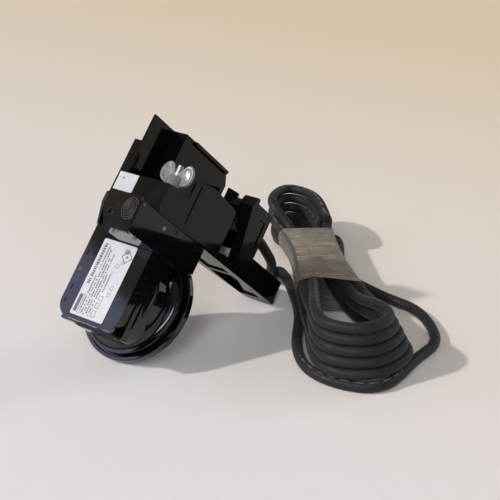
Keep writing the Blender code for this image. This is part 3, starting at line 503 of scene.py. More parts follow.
def spline(points, steps):
    """An open curve through points, with steps to each span."""
    last = len(points) - 1
    curve = [spline_point(points[max(i - 1, 0)], points[i], points[i + 1],
                          points[min(i + 2, last)], j / steps)
             for i in range(last) for j in range(steps)]
    return np.array(curve + [points[-1]])


def bridge(mesh, first, second):
    """Quads between two closed rings of vertices."""
    count = len(first)
    return [mesh.faces.new((first[j], first[(j + 1) % count], second[(j + 1) % count], second[j]))
            for j in range(count)]


def skin(mesh, layer, rings, along, around):
    """Quads through all rings, with u from along (per ring) and v from around (per side)."""
    for i in range(len(rings) - 1):
        for j, face in enumerate(bridge(mesh, rings[i], rings[i + 1])):
            corners = ((i, j), (i, j + 1), (i + 1, j + 1), (i + 1, j))
            for loop, (ring, side) in zip(face.loops, corners):
                loop[layer].uv = (along[ring], around[side])


def add_prism(mesh, outline, foot, top):
    low, high = ([mesh.verts.new((x, y, z)) for x, y in outline] for z in (foot, top))
    mesh.faces.new(low)
    mesh.faces.new(high[::-1])
    bridge(mesh, low, high)


def add_bead(mesh, points, radius, sides, closed=False):
    """A bead along points, a little flattened in z, with narrowed ends where open."""
    flatness, end_scale = 0.8, 0.45
    points = [Vector(point) for point in points]
    count = len(points)
    rings = []
    for i, point in enumerate(points):
        before = points[(i - 1) % count] if closed or i > 0 else point
        after = points[(i + 1) % count] if closed or i < count - 1 else point
        along = (after - before).normalized()
        side = along.cross(Vector((0, 0, 1))).normalized()
        up = side.cross(along).normalized()
        scale = end_scale if not closed and i in (0, count - 1) else 1.0
        angles = [2 * math.pi * j / sides for j in range(sides)]
        rings.append([mesh.verts.new(point + (side * math.cos(a) + up * flatness * math.sin(a))
                                     * radius * scale) for a in angles])
    for i in range(count if closed else count - 1):
        bridge(mesh, rings[i], rings[(i + 1) % count])
    if not closed:
        mesh.faces.new(rings[0][::-1])
        mesh.faces.new(rings[-1])


# ==== Thumb ridges and recess rim on the release latch ====================================
LATCH_FACE = 49.42
RIDGE_CENTRE = (33.0, 61.6)
RIDGE_RADII = (1.5, 3.2, 4.9, 6.6, 8.3)
RIDGE_STRETCH = 1.3             # the ridges are ovals, longer in y
RIDGE_BEAD = 0.34
RIDGE_STEPS = 120
PAD_X, PAD_Y = (22, 40.3), (44, 74.6)       # the ridges keep within this patch
RECESS_CENTRE, RECESS_RADIUS = (13.6, 54.1), 3.3
RECESS_BEAD, RECESS_STEPS = 0.55, 48


def on_pad(point):
    return PAD_X[0] < point[0] < PAD_X[1] and PAD_Y[0] < point[1] < PAD_Y[1]


def build_latch_ridges():
    mesh = bmesh.new()
    for radius in RIDGE_RADII:
        oval = []
        for i in range(RIDGE_STEPS + 1):
            angle = 2 * math.pi * i / RIDGE_STEPS + math.pi * 0.5
            oval.append((RIDGE_CENTRE[0] + radius * math.cos(angle),
                         RIDGE_CENTRE[1] + RIDGE_STRETCH * radius * math.sin(angle), LATCH_FACE))
        for inside, run in groupby(oval, key=on_pad):
            run = list(run)
            if inside and len(run) > 4:
                add_bead(mesh, run, RIDGE_BEAD, 8)
    piece("latch_ridges", mesh, RIDGE, "release_latch")


def build_latch_rim():
    mesh = bmesh.new()
    angles = [2 * math.pi * i / RECESS_STEPS for i in range(RECESS_STEPS)]
    add_bead(mesh, [(RECESS_CENTRE[0] + RECESS_RADIUS * math.cos(a),
                     RECESS_CENTRE[1] + RECESS_RADIUS * math.sin(a), LATCH_FACE) for a in angles],
             RECESS_BEAD, 10, closed=True)
    piece("latch_recess_rim", mesh, GLOSS, "release_latch")


# ==== Wing nut: a nylon butterfly with thick-rimmed wings, its axis along y ===============
NUT_PLACE, NUT_TURN = (24.5, 106.3, -1.0), math.radians(12)
# foot radius, top radius, height; both stand on y = 0
NUT_HUBS = ((8.1, 6.6, 11.0), (8.2, 8.2, 1.6))
# One wing in its own plane: out from the axis, along the axis
WING_OUTLINE = [
    (3.0, 1.6), (9.0, 2.4), (13.6, 4.6), (16.6, 8.4), (17.7, 13.0), (17.5, 18.0), (15.6, 22.4),
    (12.4, 24.9), (9.2, 24.8), (6.6, 22.6), (4.4, 19.0), (2.2, 15.4), (0.6, 12.4)]
WING_CENTRE = Vector((9.6, 13.2))
# How far in towards the centre (0..1), half thickness: a rim heavier than the middle
WING_LAYERS = ((0.0, 1.5), (0.10, 2.5), (0.24, 2.3), (0.42, 1.5), (0.9, 1.35))
WING_STEPS = 4
WING_SWEEP = 0.0098             # sideways bend, growing out and along from SWEEP_START
SWEEP_START = (4, 8)


def add_wing(mesh, sign):
    points = [Vector(point) for point in WING_OUTLINE]
    count = len(points)
    outline = [spline_point(*(points[(i + k) % count] for k in (-1, 0, 1, 2)), j / WING_STEPS)
               for i in range(count) for j in range(WING_STEPS)]
    faces = {1: [], -1: []}
    for inset, half in WING_LAYERS:
        for side, rings in faces.items():
            ring = []
            for point in outline:
                out, along = point.lerp(WING_CENTRE, inset)
                bend = (WING_SWEEP * max(along - SWEEP_START[1], 0)
                        * max(out - SWEEP_START[0], 0))
                ring.append(mesh.verts.new((sign * out, along, sign * bend + side * half)))
            rings.append(ring)
    for rings in faces.values():
        for outer, inner in zip(rings[:-1], rings[1:]):
            bridge(mesh, outer, inner)
        mesh.faces.new(rings[-1])
    bridge(mesh, faces[1][0], faces[-1][0])


def build_wing_nut():
    mesh = bmesh.new()
    for foot, top, height in NUT_HUBS:
        bmesh.ops.create_cone(
            mesh, cap_ends=True, segments=40, radius1=foot, radius2=top, depth=height,
            matrix=Matrix.Translation((0, height / 2, 0)) @ Matrix.Rotation(-math.pi / 2, 4, 'X'))
    for sign in (-1, 1):
        add_wing(mesh, sign)
    bmesh.ops.transform(mesh, verts=mesh.verts[:],
                        matrix=Matrix.Translation(NUT_PLACE) @ Matrix.Rotation(NUT_TURN, 4, 'Y'))
    nut = piece("wing_nut_moulded", mesh, NYLON, "wing_nut")
    modify(nut, "voxel", 'REMESH', mode='VOXEL', voxel_size=0.00042, use_smooth_shade=True)
    modify(nut, "soft", 'SMOOTH', factor=0.5, iterations=7)
    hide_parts("wing_nut")


# ==== Print on the type label (bars, dashes and outlines) and on the sticker ==============
INK_DEPTH = 0.06
PRINT_Z = (LABEL_TOP, LABEL_TOP + INK_DEPTH)
LINE_HALF = 0.78                # half height of a small row
WORD_GAP = 1.6
LINE_DASH, LINE_GAP = (0.8, 1.9), (0.35, 0.7)
FINE_DASH, FINE_GAP = (0.6, 1.7), (0.3, 0.6)
TEXT_LINES = ((-10.2, -38, 2), (-7.2, -37, 30), (-4.2, -38, 22), (-1.2, -36, 26), (1.8, -38, 6))
# x0, x1, y0, y1, line width
SQUARES = ((4.6, 9.4, -37.5, -31.0, 0.5), (4.6, 9.4, -28.5, -23.0, 0.5),
           (4.6, 9.4, -20.5, -15.5, 0.5), (12.0, 15.4, -14.5, -10.5, 0.4),
           (12.0, 15.4, -7.5, -3.5, 0.4))
DIAMOND_X, DIAMOND_Y, DIAMOND_HALF = 14.6, 27.2, 6.2
DIAMOND_LINE = 0.42             # half width of its line
STICKER_TOP = 25.6
STICKER_ARROW = [(-12.6, 93.4), (-9.6, 95.0), (-12.9, 96.6), (-12.0, 95.0)]


def add_bar(mesh, x0, x1, y0, y1):
    z0, z1 = PRINT_Z
    centre = Matrix.Translation(((x0 + x1) / 2, (y0 + y1) / 2, (z0 + z1) / 2))
    size = Matrix.Diagonal((x1 - x0, y1 - y0, z1 - z0, 1))
    bmesh.ops.create_cube(mesh, size=1.0, matrix=centre @ size)


def add_row(mesh, rng, x, y0, y1, half, dash, gap, word_chance):
    """A row of dashes along y, with random lengths and a wider gap after some."""
    y = y0
    while y < y1 - 0.4:
        length = min(rng.uniform(*dash), y1 - y)
        add_bar(mesh, x - half, x + half, y, y + length)
        y += length + rng.uniform(*gap) + (WORD_GAP if rng.random() < word_chance else 0)


def add_square(mesh, x0, x1, y0, y1, line):
    add_bar(mesh, x0, x1, y0, y0 + line)
    add_bar(mesh, x0, x1, y1 - line, y1)
    add_bar(mesh, x0, x0 + line, y0 + line, y1 - line)
    add_bar(mesh, x1 - line, x1, y0 + line, y1 - line)


def add_circle(mesh, x, y, radius, line, sides=28):
    z0, z1 = PRINT_Z
    rings = []
    for reach, z in ((radius, z0), (radius - line, z0), (radius - line, z1), (radius, z1)):
        angles = [2 * math.pi * i / sides for i in range(sides)]
        rings.append([mesh.verts.new((x + reach * math.cos(a), y + reach * math.sin(a), z))
                      for a in angles])
    for i in range(sides):
        j = (i + 1) % sides
        for k in range(4):
            ring, after = rings[k], rings[(k + 1) % 4]
            mesh.faces.new((ring[i], ring[j], after[j], after[i]))


def add_diamond(mesh):
    x, y, half = DIAMOND_X, DIAMOND_Y, DIAMOND_HALF
    tips = [Vector(tip) for tip in ((x, y - half), (x + half, y), (x, y + half), (x - half, y))]
    for i in range(4):
        start, end = tips[i], tips[(i + 1) % 4]
        along = (end - start).normalized()
        side = Vector((-along.y, along.x)) * DIAMOND_LINE
        extra = along * DIAMOND_LINE
        add_prism(mesh, [start - side - extra, end - side + extra,
                         end + side + extra, start + side - extra], *PRINT_Z)


def build_label_print():
    rng = random.Random(7)
    mesh = bmesh.new()
    # title row, a solid block before it and a thin rule beside the block
    add_row(mesh, rng, -15.4, -8.0, 35.0, half=1.75, dash=(1.1, 2.3), gap=(0.6, 0.9),
            word_chance=0.06)
    add_bar(mesh, -18.2, -14.2, -37.5, -19.5)
    add_bar(mesh, -12.9, -12.3, -38.2, -18.5)
    for x, y0, y1 in TEXT_LINES:
        add_row(mesh, rng, x, y0, y1, LINE_HALF, LINE_DASH, LINE_GAP, word_chance=0.2)
    add_row(mesh, rng, -10.4, 8, 33, LINE_HALF, FINE_DASH, FINE_GAP, word_chance=0.22)
    add_row(mesh, rng, 5.6, -12, 10, LINE_HALF, FINE_DASH, FINE_GAP, word_chance=0.2)
    for square in SQUARES:
        add_square(mesh, *square)
    for k in range(4):          # four short bars side by side
        add_bar(mesh, 9.6 + k * 1.5, 10.5 + k * 1.5, 30.0, 35.0)
    add_circle(mesh, 8.3, 16.5, radius=2.3, line=0.45)
    add_circle(mesh, 12.2, 20.5, radius=1.7, line=0.4)
    add_diamond(mesh)
    add_circle(mesh, DIAMOND_X, DIAMOND_Y, radius=1.5, line=0.9)
    piece("label_print", mesh, INK, "head", smooth=False)


def build_sticker_tick():
    mesh = bmesh.new()
    add_prism(mesh, STICKER_ARROW, STICKER_TOP, STICKER_TOP + INK_DEPTH)
    piece("sticker_tick", mesh, INK, "head", smooth=False)


# ==== Mains lead: a round cable from the rear tower, wound into a hank on the floor =======
# Its path is in mm along the row frame's axes, measured from PLACE.
CABLE_D = 10.4
SPACING = CABLE_D + 0.5         # between cable centres where turns touch
GLAND_X, GLAND_Y, TOWER_FOOT = 26.0, 124.0, -147.0      # in the head's frame
TURNS = 5
# The stations of one turn: its place on the lowest turn, and on the top one. Those with no top
# place are at the waist, where the turns are bundled two abreast.
HANK = [
    ((217, 101, 5), (208, 110, 60)), ((242, 126, 5), (224, 129, 60)),
    ((243, 174, 5), (223, 155, 60)), ((214, 202, 5), (203, 176, 56)),
    ((143, 230, 19), None), ((94, 268, 19), None), ((47, 313, 19), None), ((-2, 368, 19), None),
    ((-32, 374, 5), (14, 364, 60)), ((-41, 383, 5), (-39, 406, 60)),
    ((-58, 390, 5), (-76, 413, 60)), ((-64, 377, 5), (-80, 387, 60)),
    ((-47, 341, 5), (-53, 335, 60)), ((-26, 332, 19), None), ((26, 289, 19), None),
    ((72, 233, 19), None), ((139, 143, 5), (148, 138, 60)), ((184, 100, 5), (177, 108, 60))]
STATIONS = len(HANK)
# Stations of the first, loose turn: station, place
LOOSE = {13: (2, 283, 6), 14: (46, 244, 6), 15: (90, 197, 6), 16: (128, 137, 6),
         17: (170, 100, 6), 19: (244, 125, 6), 20: (236, 189, 6), 21: (233, 236, 6),
         22: (182, 285, 6), 23: (136, 292, 6), 24: (57, 321, 5), 25: (1, 405, 6)}
FIRST_STATION, END_STATION = 13, STATIONS * (TURNS + 1) + 7
FIRST_TIGHT = 26                # the first station that settles under the next turn
WAIST_ACROSS = np.array([0.72, 0.69, 0.0])
WAIST_HALF, WAIST_RISE = 5.8, 11.2      # half column spacing, row spacing
PATH_STEPS, FINE_STEPS = 3, 4
SETTLE_ROUNDS = 160
# The far end of the hank is lifted: its centre, outer radius and fade width, lift
LIFT_X, LIFT_Y, LIFT_RADIUS, LIFT_FADE, LIFT = 36, 300, 150, 55, 2.2
LIFT_FROM = 58                  # the first path point lifted
CABLE_SIDES = 28


def station(index):
    """Where the lead's centre passes a numbered station."""
    if index in LOOSE:
        return np.array(LOOSE[index], float)
    spot = index % STATIONS
    low, top = HANK[spot]
    low = np.array(low, float)
    level = index / STATIONS - 1
    if top is not None:
        return low + (np.array(top) - low) * max(level, 0) / TURNS
    outward = 1 if spot < 9 else -1
    turn = int(level) if outward > 0 else int(level) + 1
    column = (1, -1)[turn % 2] * WAIST_HALF
    row = (turn + (spot == 7)) // 2 - 1
    return low + WAIST_ACROSS * outward * column + np.array([0, 0, row * WAIST_RISE])


def from_head(x, y, z):
    return np.array([x, COS_TILT * y - SIN_TILT * z, SIN_TILT * y + COS_TILT * z + REST_HEIGHT])


def settle(path, lead_out):
    """Push touching turns apart and draw each turn onto the one below it."""
    start = path.copy()
    fixed = 3 * PATH_STEPS
    index = np.arange(len(path))
    apart = np.abs(index[:, None] - index[None, :]) > 2 * PATH_STEPS
    turn = STATIONS * PATH_STEPS
    first = (FIRST_TIGHT - FIRST_STATION + lead_out) * PATH_STEPS
    spots = [round(FIRST_STATION + (i / PATH_STEPS - lead_out)) % STATIONS
             for i in range(first, len(path) - turn)]
    settles = np.array([0.0 if HANK[spot][1] is None else 1.0 for spot in spots])
    for _ in range(SETTLE_ROUNDS):
        offset = path[:, None, :] - path[None, :, :]
        distance = np.linalg.norm(offset, axis=2) + 1e-9
        near = apart & (distance < SPACING)
        push = np.where(near[:, :, None], offset / distance[:, :, None]
                        * (SPACING - distance)[:, :, None] * 0.25, 0.0).sum(1)
        straighten = np.zeros_like(path)
        straighten[1:-1] = 0.5 * (path[:-2] + path[2:]) - path[1:-1]
        gap = path[first + turn:] - path[first:-turn]
        reach = np.linalg.norm(gap, axis=1)[:, None]
        pull = gap / reach * np.clip(reach - SPACING, 0, 6) * settles[:, None] * 0.22
        draw = np.zeros_like(path)
        draw[first:-turn] += pull * 0.35
        draw[first + turn:] -= pull
        move = push + draw + 0.03 * straighten + 0.03 * (start - path)
        move[:fixed] = 0
        move[-1] = push[-1]
        path = path + move
        path[fixed:, 2] = np.maximum(path[fixed:, 2], CABLE_D / 2 + 0.1)
    return path


def lead_path():
    leaving = from_head(GLAND_X, GLAND_Y - 2, TOWER_FOOT - 34.0)
    lead_out = [from_head(GLAND_X, GLAND_Y, -125.5),
                from_head(GLAND_X, GLAND_Y, TOWER_FOOT - 16.0), leaving,
                leaving + np.array([-6, 26, -32]), leaving + np.array([-22, 40, -70])]
    lead_out[-1][2] = max(lead_out[-1][2], 8)
    hank = [station(i) for i in range(FIRST_STATION, END_STATION)]
    path = settle(spline(np.array(lead_out + hank), PATH_STEPS), len(lead_out))
    distance = np.hypot(path[:, 0] - LIFT_X, path[:, 1] - LIFT_Y)
    fade = np.clip((LIFT_RADIUS - distance) / LIFT_FADE, 0, 1)
    path[LIFT_FROM:, 2] += (LIFT * fade * fade * (3 - 2 * fade))[LIFT_FROM:]
    return spline(path, FINE_STEPS)


def build_lead(path):
    """The lead; u runs in metres along it and v once round it."""
    radius = CABLE_D / 2 + 0.2
    points = [Vector(point) for point in (path * MM + SHIFT)]
    last = len(points) - 1
    mesh = bmesh.new()
    layer = mesh.loops.layers.uv.new("lead")
    lengths = [0.0]
    for i in range(1, last + 1):
        lengths.append(lengths[-1] + (points[i] - points[i - 1]).length)
    # a side direction carried along without twist, for where the lead runs upright
    carried = Vector((0, 0, 1)).cross((points[1] - points[0]).normalized()).normalized()
    rings, tangents = [], []
    for i, point in enumerate(points):
        tangent = (points[min(i + 1, last)] - points[max(i - 1, 0)]).normalized()
        carried = (carried - tangent * carried.dot(tangent)).normalized()
        up = Vector((0, 0, 1)) - tangent * tangent.z
        if up.length > 0.15:
            up.normalize()
        else:
            up = carried
        side = tangent.cross(up).normalized()
        wander = 0.35 * math.sin(lengths[i] * 2.3)      # slow roll of the print line
        wobble = 1.0 + 0.012 * mnoise.noise(point * 60)
        angles = [2 * math.pi * j / CABLE_SIDES + wander for j in range(CABLE_SIDES)]
        rings.append([mesh.verts.new(point + (up * math.cos(a) + side * math.sin(a))
                                     * radius * MM * wobble) for a in angles])
        tangents.append(tangent)
    skin(mesh, layer, rings, lengths,
         [(j / CABLE_SIDES + 0.5) % 1.0 for j in range(CABLE_SIDES + 1)])
    for end, sign in ((0, -1), (-1, 1)):        # chamfered ends
        centre, out = points[end], tangents[end] * sign
        inner = [mesh.verts.new(centre + (vert.co - centre) * 0.86 + out * 0.0008)
                 for vert in rings[end]]
        bridge(mesh, rings[end], inner)
        mesh.faces.new(inner)
    lead = piece("lead_cable", mesh, LEAD, "head", in_row=True)
    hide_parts("mains_lead")


# ==== Film round the waist of the hank: a drawn, crinkled sleeve ==========================
FILM_START, FILM_END = np.array([104.0, 226.0, 0.0]), np.array([-4.0, 338.0, 0.0])
FILM_RINGS, FILM_SIDES = 96, 132
FILM_REACH = 60                 # only lead this near the sleeve's axis is wrapped
FILM_CLEAR = 0.75               # from the cable's surface
FILM_FLOOR = 0.25               # lowest height of the film
FILM_FIRST = 240                # the first path point that can be wrapped
FILM_SPAN = np.linalg.norm(FILM_END - FILM_START)
FILM_ALONG = (FILM_END - FILM_START) / FILM_SPAN
FILM_ACROSS = np.array([-FILM_ALONG[1], FILM_ALONG[0], 0.0])


def stretch_film():
    mat = Material("stretch_film")
    vec = mat.row_coords()
    uvs = mat.new("ShaderNodeUVMap", uv_map="film").outputs[0]
    streak = mat.noise(mat.mapped(uvs, scale=(60, 5, 1)), scale=1.6, detail=5, rough=0.65,
                       warp=0.8)
    cloud = mat.noise(vec, scale=60, detail=4, rough=0.6, warp=0.5)
    # v round the sleeve: 0 on its -X -Y side, 0.25 on top, 0.5 on its +X +Y side
    turn = mat.split(uvs)[1]
    # Painted shade: the milky white runs from the film's top over to its +X +Y side and thins to
    # nearly clear, so darker, on its -X -Y side, standing in for the chassis's shadow on the film.
    top = mat.mul(mat.ramp(mat.add(turn, mat.mul(streak, by=0.04)), span=(0.19, 0.25)),
                  by=mat.ramp(turn, span=(0.66, 0.58)))
    milk_and_painted_shade = mat.add(mat.mul(mat.ramp(streak, span=(0.35, 0.72)), by=0.30),
                   mat.mul(mat.ramp(cloud, span=(0.3, 0.7)), by=0.16))
    milk_and_painted_shade = mat.mul(mat.add(milk_and_painted_shade, 0.10), by=mat.ramp(top, span=(0, 1), out=(0.08, 1.0)))
    milk_and_painted_shade = mat.add(milk_and_painted_shade, 0.01)
    bump = mat.bump(streak, depth=0.0009, strength=0.9)
    bump = mat.bump(mat.voronoi(vec, scale=170), depth=0.0006, strength=0.7, over=bump)
    bump = mat.bump(mat.noise(vec, scale=420, rough=0.6), depth=0.0003, strength=0.6, over=bump)
    colour = mat.mix(mat.ramp(streak, span=(0.3, 0.7)), (0.50, 0.43, 0.33), (0.74, 0.66, 0.52))
    mat.finish(Base_Color=colour, Roughness=0.16, Normal=bump, IOR=1.5, Specular_IOR_Level=0.7)
    clear = mat.new("ShaderNodeBsdfTransparent")
    clear.inputs["Color"].default_value = (0.93, 0.94, 0.92, 1)
    shine = mat.new("ShaderNodeBsdfGlossy")
    shine.inputs["Roughness"].default_value = 0.13
    mat.link(bump, shine.inputs["Normal"])
    facing = mat.new("ShaderNodeLayerWeight")
    facing.inputs["Blend"].default_value = 0.22
    mat.link(bump, facing.inputs["Normal"])

    def blend(share, first, second):
        node = mat.new("ShaderNodeMixShader")
        for socket, source in zip(node.inputs, (share, first, second)):
            mat.link(source, socket)
        return node.outputs[0]

    gleam = mat.ramp(facing.outputs["Fresnel"], span=(0, 1), out=(0.03, 0.75))
    skin_shader = blend(gleam, clear.outputs[0], shine.outputs[0])
    mat.link(blend(milk_and_painted_shade, skin_shader, mat.bsdf.outputs[0]),
             mat.tree.nodes["Material Output"].inputs["Surface"])
    return mat.material


def lead_crossings(path, centre):
    """Where the lead crosses the section at centre, as across, height."""
    ahead = (path - centre) @ FILM_ALONG
    found = []
    for j in range(FILM_FIRST, len(path) - 1):
        if ahead[j] * ahead[j + 1] <= 0 and abs(ahead[j] - ahead[j + 1]) > 1e-6:
            f = ahead[j] / (ahead[j] - ahead[j + 1])
            point = path[j] * (1 - f) + path[j + 1] * f
            across = (point - centre) @ FILM_ACROSS
            if -FILM_REACH < across < FILM_REACH:
                found.append((across, point[2]))
    return np.array(found)


def film_hull(path, normals, angles):
    """The sleeve drawn taut round the lead, ring by ring."""
    centres = [FILM_START + (FILM_END - FILM_START) * (k / (FILM_RINGS - 1))
               for k in range(FILM_RINGS)]
    support = []
    for centre in centres:
        crossings = lead_crossings(path, centre)
        support.append([(crossings @ normal).max() for normal in normals])
    support = np.array(support)
    # film spans between turns, so its hoop size changes smoothly along the hank
    for _ in range(3):
        support[1:-1] = np.maximum(support[1:-1], 0.25 * support[:-2] + 0.5 * support[1:-1]
                                   + 0.25 * support[2:])
    verts = np.zeros((FILM_RINGS, FILM_SIDES, 3))
    for k, centre in enumerate(centres):
        hull = support[k] + (CABLE_D / 2 + FILM_CLEAR)
        slope = (np.roll(hull, -1) - np.roll(hull, 1)) / (2 * 2 * np.pi / FILM_SIDES)
        across = hull * np.cos(angles) - slope * np.sin(angles)
        height = hull * np.sin(angles) + slope * np.cos(angles)
        verts[k] = (centre[None] + FILM_ACROSS[None] * across[:, None]
                    + np.array([0, 0, 1.0])[None] * height[:, None])
    return verts


def crinkle(verts, normals):
    """Fine hoop pleats, slanting tension folds and a few deep creases."""
    for k in range(FILM_RINGS):
        u = k / (FILM_RINGS - 1) * FILM_SPAN
        for j, (across, height) in enumerate(normals):
            out = np.array([across * FILM_ACROSS[0], across * FILM_ACROSS[1], height])
            pleat = mnoise.noise(Vector((u * 0.55 + math.sin(j * 0.19) * 1.2, j * 0.05, 3.1)))
            fold = mnoise.noise(Vector((u * 0.13 + j * 0.12, j * 0.31 - u * 0.06, 8.7)))
            crease = abs(mnoise.noise(Vector((u * 0.10 - j * 0.05, j * 0.17, 21.0))))
            lift = 0.42 * pleat + 0.30 * fold + 1.98 * max(0.0, 0.16 - crease)
            verts[k, j] += out * max(lift, -0.35)
            verts[k, j, 2] = max(verts[k, j, 2], FILM_FLOOR)


def fray_ends(verts):
    """Ragged edges: the last two rings at each end shift along the sleeve."""
    for k, pull in ((0, -1), (1, -0.6), (FILM_RINGS - 1, 1), (FILM_RINGS - 2, 0.6)):
        for j in range(FILM_SIDES):
            wave = mnoise.noise(Vector((j * 0.21, k * 0.02, 40.0 + pull)))
            nick = mnoise.noise(Vector((j * 0.9, 3.0, 50.0 + pull)))
            verts[k, j] += FILM_ALONG * pull * (2.4 * wave + 0.6 * nick)


def build_film(path):
    """The sleeve; u runs along it in units of 100 mm and v once round it."""
    angles = 2 * np.pi * np.arange(FILM_SIDES) / FILM_SIDES
    normals = np.stack([np.cos(angles), np.sin(angles)], 1)
    verts = film_hull(path, normals, angles)
    crinkle(verts, normals)
    fray_ends(verts)
    mesh = bmesh.new()
    layer = mesh.loops.layers.uv.new("film")
    rings = [[mesh.verts.new(vert * MM + SHIFT) for vert in ring] for ring in verts]
    skin(mesh, layer, rings,
         [k / (FILM_RINGS - 1) * FILM_SPAN / 100 for k in range(FILM_RINGS)],
         [j / FILM_SIDES for j in range(FILM_SIDES + 1)])
    wrap = piece("film_skin", mesh, stretch_film(), "head", in_row=True)
    modify(wrap, "thick", 'SOLIDIFY', thickness=0.00012, offset=1.0)
    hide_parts("film_wrap")


# ==== Stage, camera and light =============================================================
CAMERA_PLACE = np.array([783.1786, -795.7469, 574.4593])       # mm from PLACE
CAMERA_AXES = ((0.79195468, 0.61051669, 0.00878391),            # right
               (-0.23766046, 0.29497474, 0.92547685),           # up
               (0.56242804, -0.73502331, 0.3787023))            # back
# Where the label face mirrors the edge between the blue and warm panes, head's frame (mm)
MIRROR_POINT = (-35, 26, 0)
KEY_AZIMUTH, KEY_ELEVATION = -145, 37
# Bright panes: azimuth, elevation, half width, half height, softness across and up, colour.
# In turn: a tall one behind the camera, one behind and right of it, one beyond it to the right.
BRIGHT_PANES = ((152, 33, 7.5, 17, 4.0, 10.0, (11.5, 12.3, 14.0)),
                (118, 24, 10, 13, 5.0, 8.0, (1.1, 1.35, 2.1)),
                (24, 26, 8, 14, 4.0, 6.0, (4.5, 5.1, 6.0)))


def table_top():
    mat = Material("table_top")
    vec = mat.row_coords()
    away = mat.ramp(mat.split(vec)["Y"], span=(-0.7, 1.6))
    colour = mat.mix(away, (0.90, 0.87, 0.84), (0.82, 0.68, 0.45))
    cloud = mat.noise(vec, scale=3, rough=0.6)
    colour = mat.mix(mat.mul(cloud, by=0.08), colour, (0.78, 0.75, 0.71))
    bump = mat.bump(mat.noise(vec, scale=700, detail=2), depth=0.00003, strength=0.3)
    return mat.finish(Base_Color=colour, Roughness=0.55, Normal=bump, Specular_IOR_Level=0.25)


def build_floor():
    bpy.ops.mesh.primitive_plane_add(size=12, location=(0, 0, 0))
    floor = bpy.context.object
    floor.name = "floor"
    floor.data.materials.append(table_top())


def build_camera():
    data = bpy.data.cameras.new("camera")
    data.sensor_width = 36.0
    data.lens = 91.74888
    data.clip_end = 30
    camera = bpy.data.objects.new("camera", data)
    turn = Matrix(CAMERA_AXES).transposed().to_4x4()
    camera.matrix_world = Matrix.Translation(Vector(CAMERA_PLACE * MM) + PLACE) @ turn
    scene.collection.objects.link(camera)
    scene.camera = camera
    return camera


def direction(azimuth, elevation):
    """A unit vector from degrees clockwise of +Y, seen from above, and degrees up."""
    azimuth, elevation = math.radians(azimuth), math.radians(elevation)
    return Vector((math.sin(azimuth) * math.cos(elevation),
                   math.cos(azimuth) * math.cos(elevation), math.sin(elevation)))


def build_key():
    """A sun left of the camera, whose shadows fall to the right and back."""
    sun = bpy.data.lights.new("key", 'SUN')
    sun.energy = 1.76
    sun.angle = math.radians(2.6)
    sun.color = (1.0, 0.975, 0.94)
    key = bpy.data.objects.new("key", sun)
    towards = direction(KEY_AZIMUTH, KEY_ELEVATION)
    key.rotation_euler = (-towards).to_track_quat('-Z', 'Y').to_euler()
    scene.collection.objects.link(key)


class Room(Nodes):
    """The world's nodes, with masks laid out by direction."""

    def __init__(self, tree):
        super().__init__(tree)
        self.view = self.new("ShaderNodeTexCoord").outputs["Generated"]

    def facing(self, towards):
        node = self.new("ShaderNodeVectorMath", operation='DOT_PRODUCT')
        self.link(self.view, node.inputs[0])
        node.inputs[1].default_value = towards
        return node.outputs["Value"]

    def pane(self, azimuth, elevation, half_width, half_height, soft_x, soft_y):
        """Mask of a rectangular patch, all in degrees, and the height coordinate over it."""
        centre = direction(azimuth, elevation)
        turn = math.radians(azimuth)
        right = Vector((math.cos(turn), -math.sin(turn), 0))
        up = right.cross(centre).normalized()
        front = self.math('MAXIMUM', self.facing(centre), 0.001)
        across = self.math('DIVIDE', self.facing(right), front)
        height = self.math('DIVIDE', self.facing(up), front)
        masks = []
        for coord, half, soft in ((across, half_width, soft_x), (height, half_height, soft_y)):
            edge, fade = math.tan(math.radians(half)), math.radians(soft) / 2
            masks.append(self.ramp(self.math('ABSOLUTE', coord), span=(edge - fade, edge + fade),
                                   out=(1.0, 0.0)))
        ahead = self.math('GREATER_THAN', self.facing(centre), 0.05)
        return self.mul(self.mul(masks[0], by=masks[1]), by=ahead), height


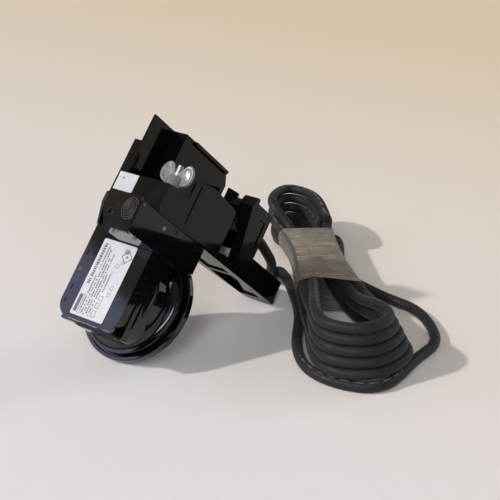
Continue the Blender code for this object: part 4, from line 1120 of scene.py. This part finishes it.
def build_room(camera):
    """Procedural surroundings, so that the glossy faces have something soft to mirror."""
    world = bpy.data.worlds.new("room")
    scene.world = world
    world.use_nodes = True
    room = Room(world.node_tree)
    # the direction the camera sees mirrored in the label face at MIRROR_POINT
    point = HEAD @ Vector([x * MM for x in MIRROR_POINT])
    normal = HEAD.to_3x3() @ Vector((0, 0, 1))
    sight = (point - camera.matrix_world.translation).normalized()
    mirrored = sight - 2 * sight.dot(normal) * normal
    azimuth = math.degrees(math.atan2(mirrored.x, mirrored.y))
    elevation = math.degrees(math.asin(mirrored.z))

    # dim walls rising to a lighter ceiling, lighter low down beyond the product
    up = room.facing(Vector((0, 0, 1)))
    beyond = room.facing(direction(-35, 0))
    colour = room.mix(room.ramp(up, span=(0.05, 0.9)), (0.065, 0.06, 0.055), (0.34, 0.31, 0.27))
    low_beyond = room.mul(room.ramp(beyond, span=(0.1, 0.9)), by=room.ramp(up, span=(0.6, 0.1)))
    colour = room.mix(low_beyond, colour, (0.34, 0.30, 0.26))
    # an uneven warm pane above the mirrored edge
    cloud = room.noise(room.view, scale=14, detail=4, warp=0.8)
    warm = room.mix(room.ramp(cloud, span=(0.40, 0.62)), (0.36, 0.32, 0.26), (1.45, 0.95, 0.64))
    mask, _ = room.pane(azimuth, elevation + 14, half_width=32, half_height=14.2,
                        soft_x=4.0, soft_y=0.8)
    colour = room.mix(mask, colour, warm)
    # a blue pane below it, brighter towards its top
    mask, height = room.pane(azimuth - 4, elevation - 13, half_width=30, half_height=13.0,
                             soft_x=3.0, soft_y=0.5)
    blue = room.mix(room.ramp(height, span=(-0.25, 0.22)), (1.45, 1.55, 2.25), (2.25, 2.35, 3.55))
    colour = room.mix(mask, colour, blue)
    for *shape, light in BRIGHT_PANES:
        mask, _ = room.pane(*shape)
        colour = room.mix(mask, colour, light)
    background = world.node_tree.nodes["Background"]
    room.link(colour, background.inputs["Color"])
    background.inputs["Strength"].default_value = 0.64


# ==== Build ===============================================================================
shading = shade_group()
for name, ob in NODES.items():
    dress_cad(name, ob, shading)
build_latch_ridges()
build_latch_rim()
build_wing_nut()
build_label_print()
build_sticker_tick()
cable_path = lead_path()
build_lead(cable_path)
build_film(cable_path)
build_floor()
view_camera = build_camera()
build_key()
build_room(view_camera)
scene.view_settings.view_transform = 'Standard'
